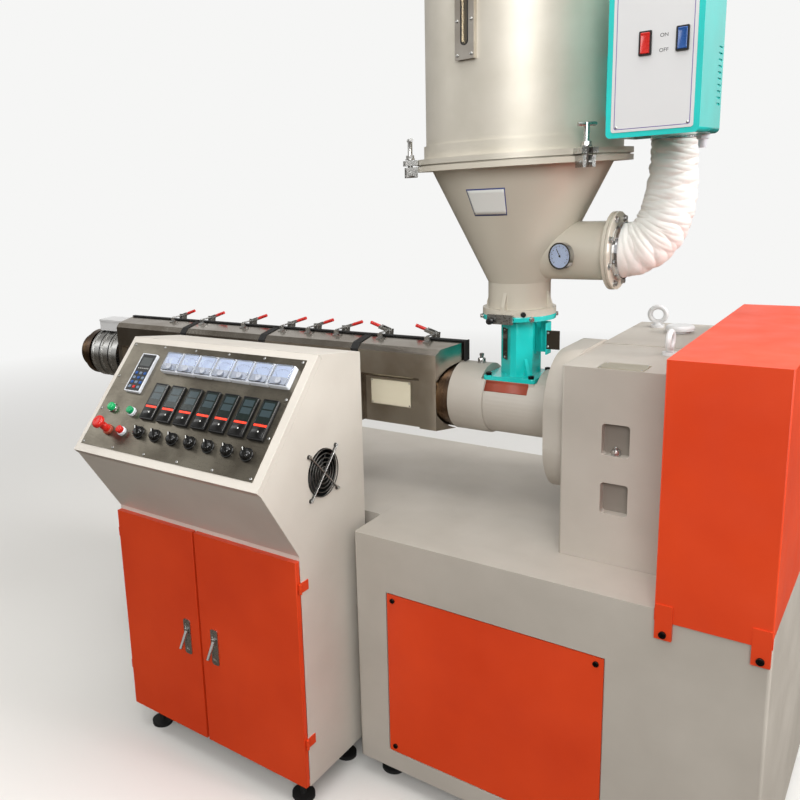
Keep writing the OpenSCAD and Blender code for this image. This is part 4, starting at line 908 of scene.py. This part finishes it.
# %% Ammeter marks and covers
pointer = block(0.8, 20, 0.3, (0, 0), (0.2, 0.4))
ticks = []
for meter in AMMETERS:
    pivot = above(meter, 0, PIVOT)
    ticks.append(scale_marks(pivot, 36, 4, range(-40, 41, 16), 13.9, 0.6))
    ticks.append(scale_marks(pivot, 37, 2.4, range(-40, 41, 4), 13.9, 0.35))
    ticks.append(at(pointer, above(above(pivot, turn=40), 0, 24, 14.9)))
piece("ammeter_marks", BLUE_PRINT, *ticks)
inside = (rim(58.8, 58.8, 3), 20.6), (rim(58.8, 58.8, 3), 15.2)
outside = (rim(60.4, 60.4, 4), 15.1), (rim(60.4, 60.4, 4), 20.6)
crown = (rim(59.4, 59.4, 4), 21.6), (rim(57, 57, 3.5), 22)
piece("ammeter_covers", CLEAR_COVER, at(loft(*inside, *outside, *crown), *AMMETERS))

# %% [markdown]
# ## Temperature controllers
# Each is a black case with a sunk display, a red glowing bar and a glossy flap below it. A
# picture on the front could show all that, but thin plates at their own heights give real
# edges and their own gloss.

# %% Controllers
CONTROLLERS = [desk(FIRST_U + COLUMN * i, 195) for i in COLUMNS]
wall = (rim(52, 120, 3), 0), (rim(52, 120, 3), 9), (rim(50.4, 118.4, 2.4), 10)
mouth = (rim(45, 113, 1), 10), (rim(44, 112, 1), 8.6)
bodies = piece("controller_cases", BLACK_PLASTIC, at(loft(*wall, *mouth), *CONTROLLERS))
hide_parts("controllers")
piece("controller_screens", DARK_DISPLAY, raised(plate(43, 66, 1, 0.5), CONTROLLERS, 0, 22, 8.7))
windows = [above(base, 0, y, 9.2) for base in CONTROLLERS for y in (40, 17)]
piece("screen_windows", SCREEN_GREY, at(plate(34, 19, 1, 0.3), *windows))
# A bright steel sliver on each case's right rim is a painted highlight.
piece("case_edge_painted_highlight", BRIGHT, raised(plate(1, 108, 0.4, 0.6), CONTROLLERS, 25, 2, 9.9))
piece("screen_bars", RED_LINE, raised(plate(43.5, 6, 0.6, 0.8), CONTROLLERS, 0, -18, 8.8))
flap = block(43, 33, 1.5, (0, 0), (0, 0.9), (0.6, 1.4))
piece("controller_flaps", GLOSS_BLACK, raised(flap, CONTROLLERS, 0, -38.5, 8.7))
dot = turned((2.4, 0), (2.2, 0.3))
piece("controller_marks", WHITE_MARK, raised(dot, CONTROLLERS, 2, -36, 10.1))

# %% [markdown]
# ## Selector knobs
# A knob is a skirt disc under a domed body with a grip bar, and its white pointer line runs
# on over the skirt's rim. Body and bar are two lofts in one piece, which is simpler than
# joining them with a boolean and looks the same in gloss black.

# %% Knobs
KNOB_ROW, DOT_RING = 93, 25
KNOB_US = [233.5 + 67.8 * i for i in COLUMNS]
KNOBS = [desk(u, KNOB_ROW, 0, 35) for u in KNOB_US]
dome = [(15.5 * math.cos(a), 13 + 7 * math.sin(a)) for a in np.radians(np.arange(0, 76, 15))]
body = turned((19.5, 0), (19.5, 4.5), (18, 5.5), (16, 5.5), (16, 12), *dome)
grip = block(9, 33, 3, (0, 5), (0, 20), (1.5, 22.5))
bodies = piece("knob_bodies", GLOSS_BLACK, at(body, *KNOBS), at(grip, *KNOBS))
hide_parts("knobs")
piece("knob_pointers", WHITE_MARK, raised(plate(2.2, 10, 0.8, 0.3), KNOBS, 0, 10, 22.4),
      raised(plate(3, 2.6, 0.6, 0.5), KNOBS, 0, 17.4, 5.1))
dot_turns = np.radians(range(-120, 121, 60))
around = [(DOT_RING * math.sin(a), DOT_RING * math.cos(a)) for a in dot_turns]
dots = [desk(u + du, KNOB_ROW + dv, -0.25) for u in KNOB_US for du, dv in around]
piece("knob_scale_dots", DARK_STEEL, at(turned((0.9, 0), (0.9, 0.2)), *dots))

# %% [markdown]
# ## The keypad
# A white tray holds a black face with a small screen, a row of lamps and twelve places for
# keys in three colours. The keys are one rounded block, copied to a grid.

# %% Keypad
KEYPAD = desk(123, 281.5)
wall = (rim(66, 134, 4), 0), (rim(66, 134, 4), 9), (rim(64.5, 132.5, 3), 10)
mouth = (rim(60, 128, 1.5), 10), (rim(59.4, 127.4, 1.5), 8)
case = piece("keypad_case", WHITE_PLASTIC, at(loft(*wall, *mouth), KEYPAD))
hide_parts("keypad")
face = above(KEYPAD, 0, 0, 8.1)
piece("keypad_face", BLACK_PLASTIC, at(plate(59, 127, 1, 0.6), face))
piece("keypad_screen", DARK_DISPLAY, at(plate(44, 30, 1.5, 0.5), above(face, 0, 38, 0.6)))
lamp_row = [above(face, x, 15, 0.6) for x in np.linspace(-20, 20, 6)]
piece("keypad_lamps", WHITE_MARK, at(plate(3.6, 2.2, 0.6, 0.4), *lamp_row))

# %% Keys
key = block(11, 9, 2, (0, 0), (0, 0.8), (0.8, 1.3))
grid = [(x, y) for y in (-2, -18, -34, -50) for x in (-18, 0, 18)]
KEY_SETS = (
    ("grey", KEY_GREY, grid[1::2]),
    ("blue", BLUE_CAP, grid[0:10:2]),
    ("red", RED_PLASTIC, grid[10:11]),
)
for name, finish, picks in KEY_SETS:
    piece(f"keypad_{name}_keys", finish, at(key, *[above(face, x, y, 0.6) for x, y in picks]))

# %% [markdown]
# ## Lamp, push buttons and emergency stop
# Caps like these are turned or moulded round, so each is one profile about its own axis. The
# rounded edges are quarter circles: r - e + e cos(a) across and h - e + e sin(a) up.

# %% Lamp and push buttons
LAMP, GO, HALT, STOP = desk(75, 155), desk(165, 152), desk(165, 86), desk(106, 83)
QUARTER = np.radians(np.arange(0, 91, 15))


def domed(r, low, high, e):
    """Radius and height pairs of a cap with a rounded edge e."""
    return [(r, low)] + list(zip(r - e + e * np.cos(QUARTER), high - e + e * np.sin(QUARTER)))


collar = turned((14, 0), (14, 8.4), (12.6, 10), (11.6, 10), (11.4, 7.5))
collars = piece("button_collars", WHITE_PLASTIC, at(collar, GO, HALT))
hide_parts("push_buttons")
lamp_ring = turned((15, 0), (15, 3), (14, 4.5), (12.5, 4.5))
piece("lamp_collar", METALS["dial_steel"], at(lamp_ring, LAMP))
piece("green_lamp", GREEN_LAMP, at(turned(*domed(13, 4, 18, 7)), LAMP))
piece("green_button", GREEN_CAP, at(turned(*domed(11, 7, 22, 3)), GO))
piece("red_button", RED_PLASTIC, at(turned(*domed(11, 7, 22, 3)), HALT))

# %% Emergency stop
base_ring = turned((16, 0), (16, 8), (14.5, 9.5), (10, 9.5))
# The base ring's rust red is a painted reflection of the red head.
piece("stop_base_painted_reflection", RUST_PLATE, at(base_ring, STOP))
stem = turned((11.5, 9), (11.5, 30), (10, 32), (10, 42.4))
piece("stop_stem", RED_PLASTIC, at(stem, STOP))
edge = [(12 + 8 * math.cos(a), 51 + 8 * math.sin(a)) for a in QUARTER]
head = turned((9, 42), (14, 42), (20, 46.5), *edge, (7, 58.6), (5, 58.2))
piece("stop_head", RED_PLASTIC, at(head, STOP))

# %% [markdown]
# ## The studio
# The room is a pale floor and a plain pale background. Both are seen by the camera alone.
# Bare metal needs something to mirror, so every other ray sees a darker floor and a room
# that is dark below and bright above.

# %% Floor


def two_faced(tree, seen, felt, output):
    """Gives the camera one shader and every other ray another one."""
    ray = add(tree, "LightPath").outputs["Is Camera Ray"]
    mixed = add(tree, "MixShader", {0: ray, 1: felt, 2: seen})
    tree.links.new(mixed.outputs[0], output.inputs["Surface"])


BACKGROUND = linear("#F6F6F5")
bpy.ops.mesh.primitive_plane_add(size=400)
floor = bpy.context.object
floor.name = "floor"
material, tree, shader = new_material("studio_floor", Base_Color="#E9E7E3", Roughness=0.8)
place = add(tree, "TexCoord").outputs["Object"]
distance = add(tree, "VectorMath", {0: place}, operation="LENGTH").outputs["Value"]
fade = spread(tree, distance, 0, 1, 1.8, 7.5)
white = add(tree, "Emission", sockets={"Color": BACKGROUND})
pale = add(tree, "MixShader", {0: fade, 1: shader.outputs[0], 2: white.outputs[0]})
dark = add(tree, "BsdfDiffuse", sockets={"Color": linear("#625C54")})
two_faced(tree, pale.outputs[0], dark.outputs[0], tree.nodes["Material Output"])
floor.data.materials.append(material)
print("floor nodes:", len(tree.nodes))

# %% World
WALLS = ((0.0, "#4E4A45"), (0.46, "#6E6963"), (0.52, "#D8D5CF"))
CEILING = ((0.62, "#FFFFFF"), (0.78, "#E4E2DE"), (0.86, "#7A7772"), (1.0, "#BFBDBA"))
world = bpy.data.worlds.new("studio")
world.use_nodes = True
tree = world.node_tree
direction = add(tree, "TexCoord").outputs["Object"]
rise = spread(tree, add(tree, "SeparateXYZ", {0: direction}).outputs["Z"], 0, 1, -1, 1)
glow = tree.nodes["Background"]
tree.links.new(ramp(tree, rise, *WALLS, *CEILING), glow.inputs["Color"])
glow.inputs["Strength"].default_value = 0.72
plain = add(tree, "Background", sockets={"Color": BACKGROUND, "Strength": 1.0})
two_faced(tree, plain.outputs[0], glow.outputs[0], tree.nodes["World Output"])
bpy.context.scene.world = world
print("world nodes:", len(tree.nodes))

# %% [markdown]
# Four soft cards light the machine. The broad one overhead and the strong one at the right
# give the shape, the one at the camera's side fills the shade, and a small dim one at the
# left lifts the console. A card's size sets how soft its shadow is.

# %% Lights


def lamp(name, place, aim_at, size, watts):
    """Rectangular area light at a place in metres, turned towards a point."""
    data = bpy.data.lights.new(name, "AREA")
    data.shape, data.size, data.size_y, data.energy = "RECTANGLE", *size, watts
    made = bpy.data.objects.new(name, data)
    made.location = place
    made.rotation_euler = (Vector(aim_at) - Vector(place)).to_track_quat("-Z", "Y").to_euler()
    bpy.context.collection.objects.link(made)
    print(name, watts, "W")


lamp("overhead", (0.9, -0.6, 4.8), (0.1, 0, 1), (4.0, 3.0), 130)
lamp("right_card", (4.8, 0.9, 3.2), (0.2, 0, 1.2), (1.8, 2.2), 180)
lamp("camera_card", (2.2, -3.6, 3.0), (0.5, 0, 0.7), (2.2, 1.8), 98)
lamp("left_card", (-3.0, -1.3, 2.9), (-0.35, -0.5, 1.15), (0.8, 1.6), 7)
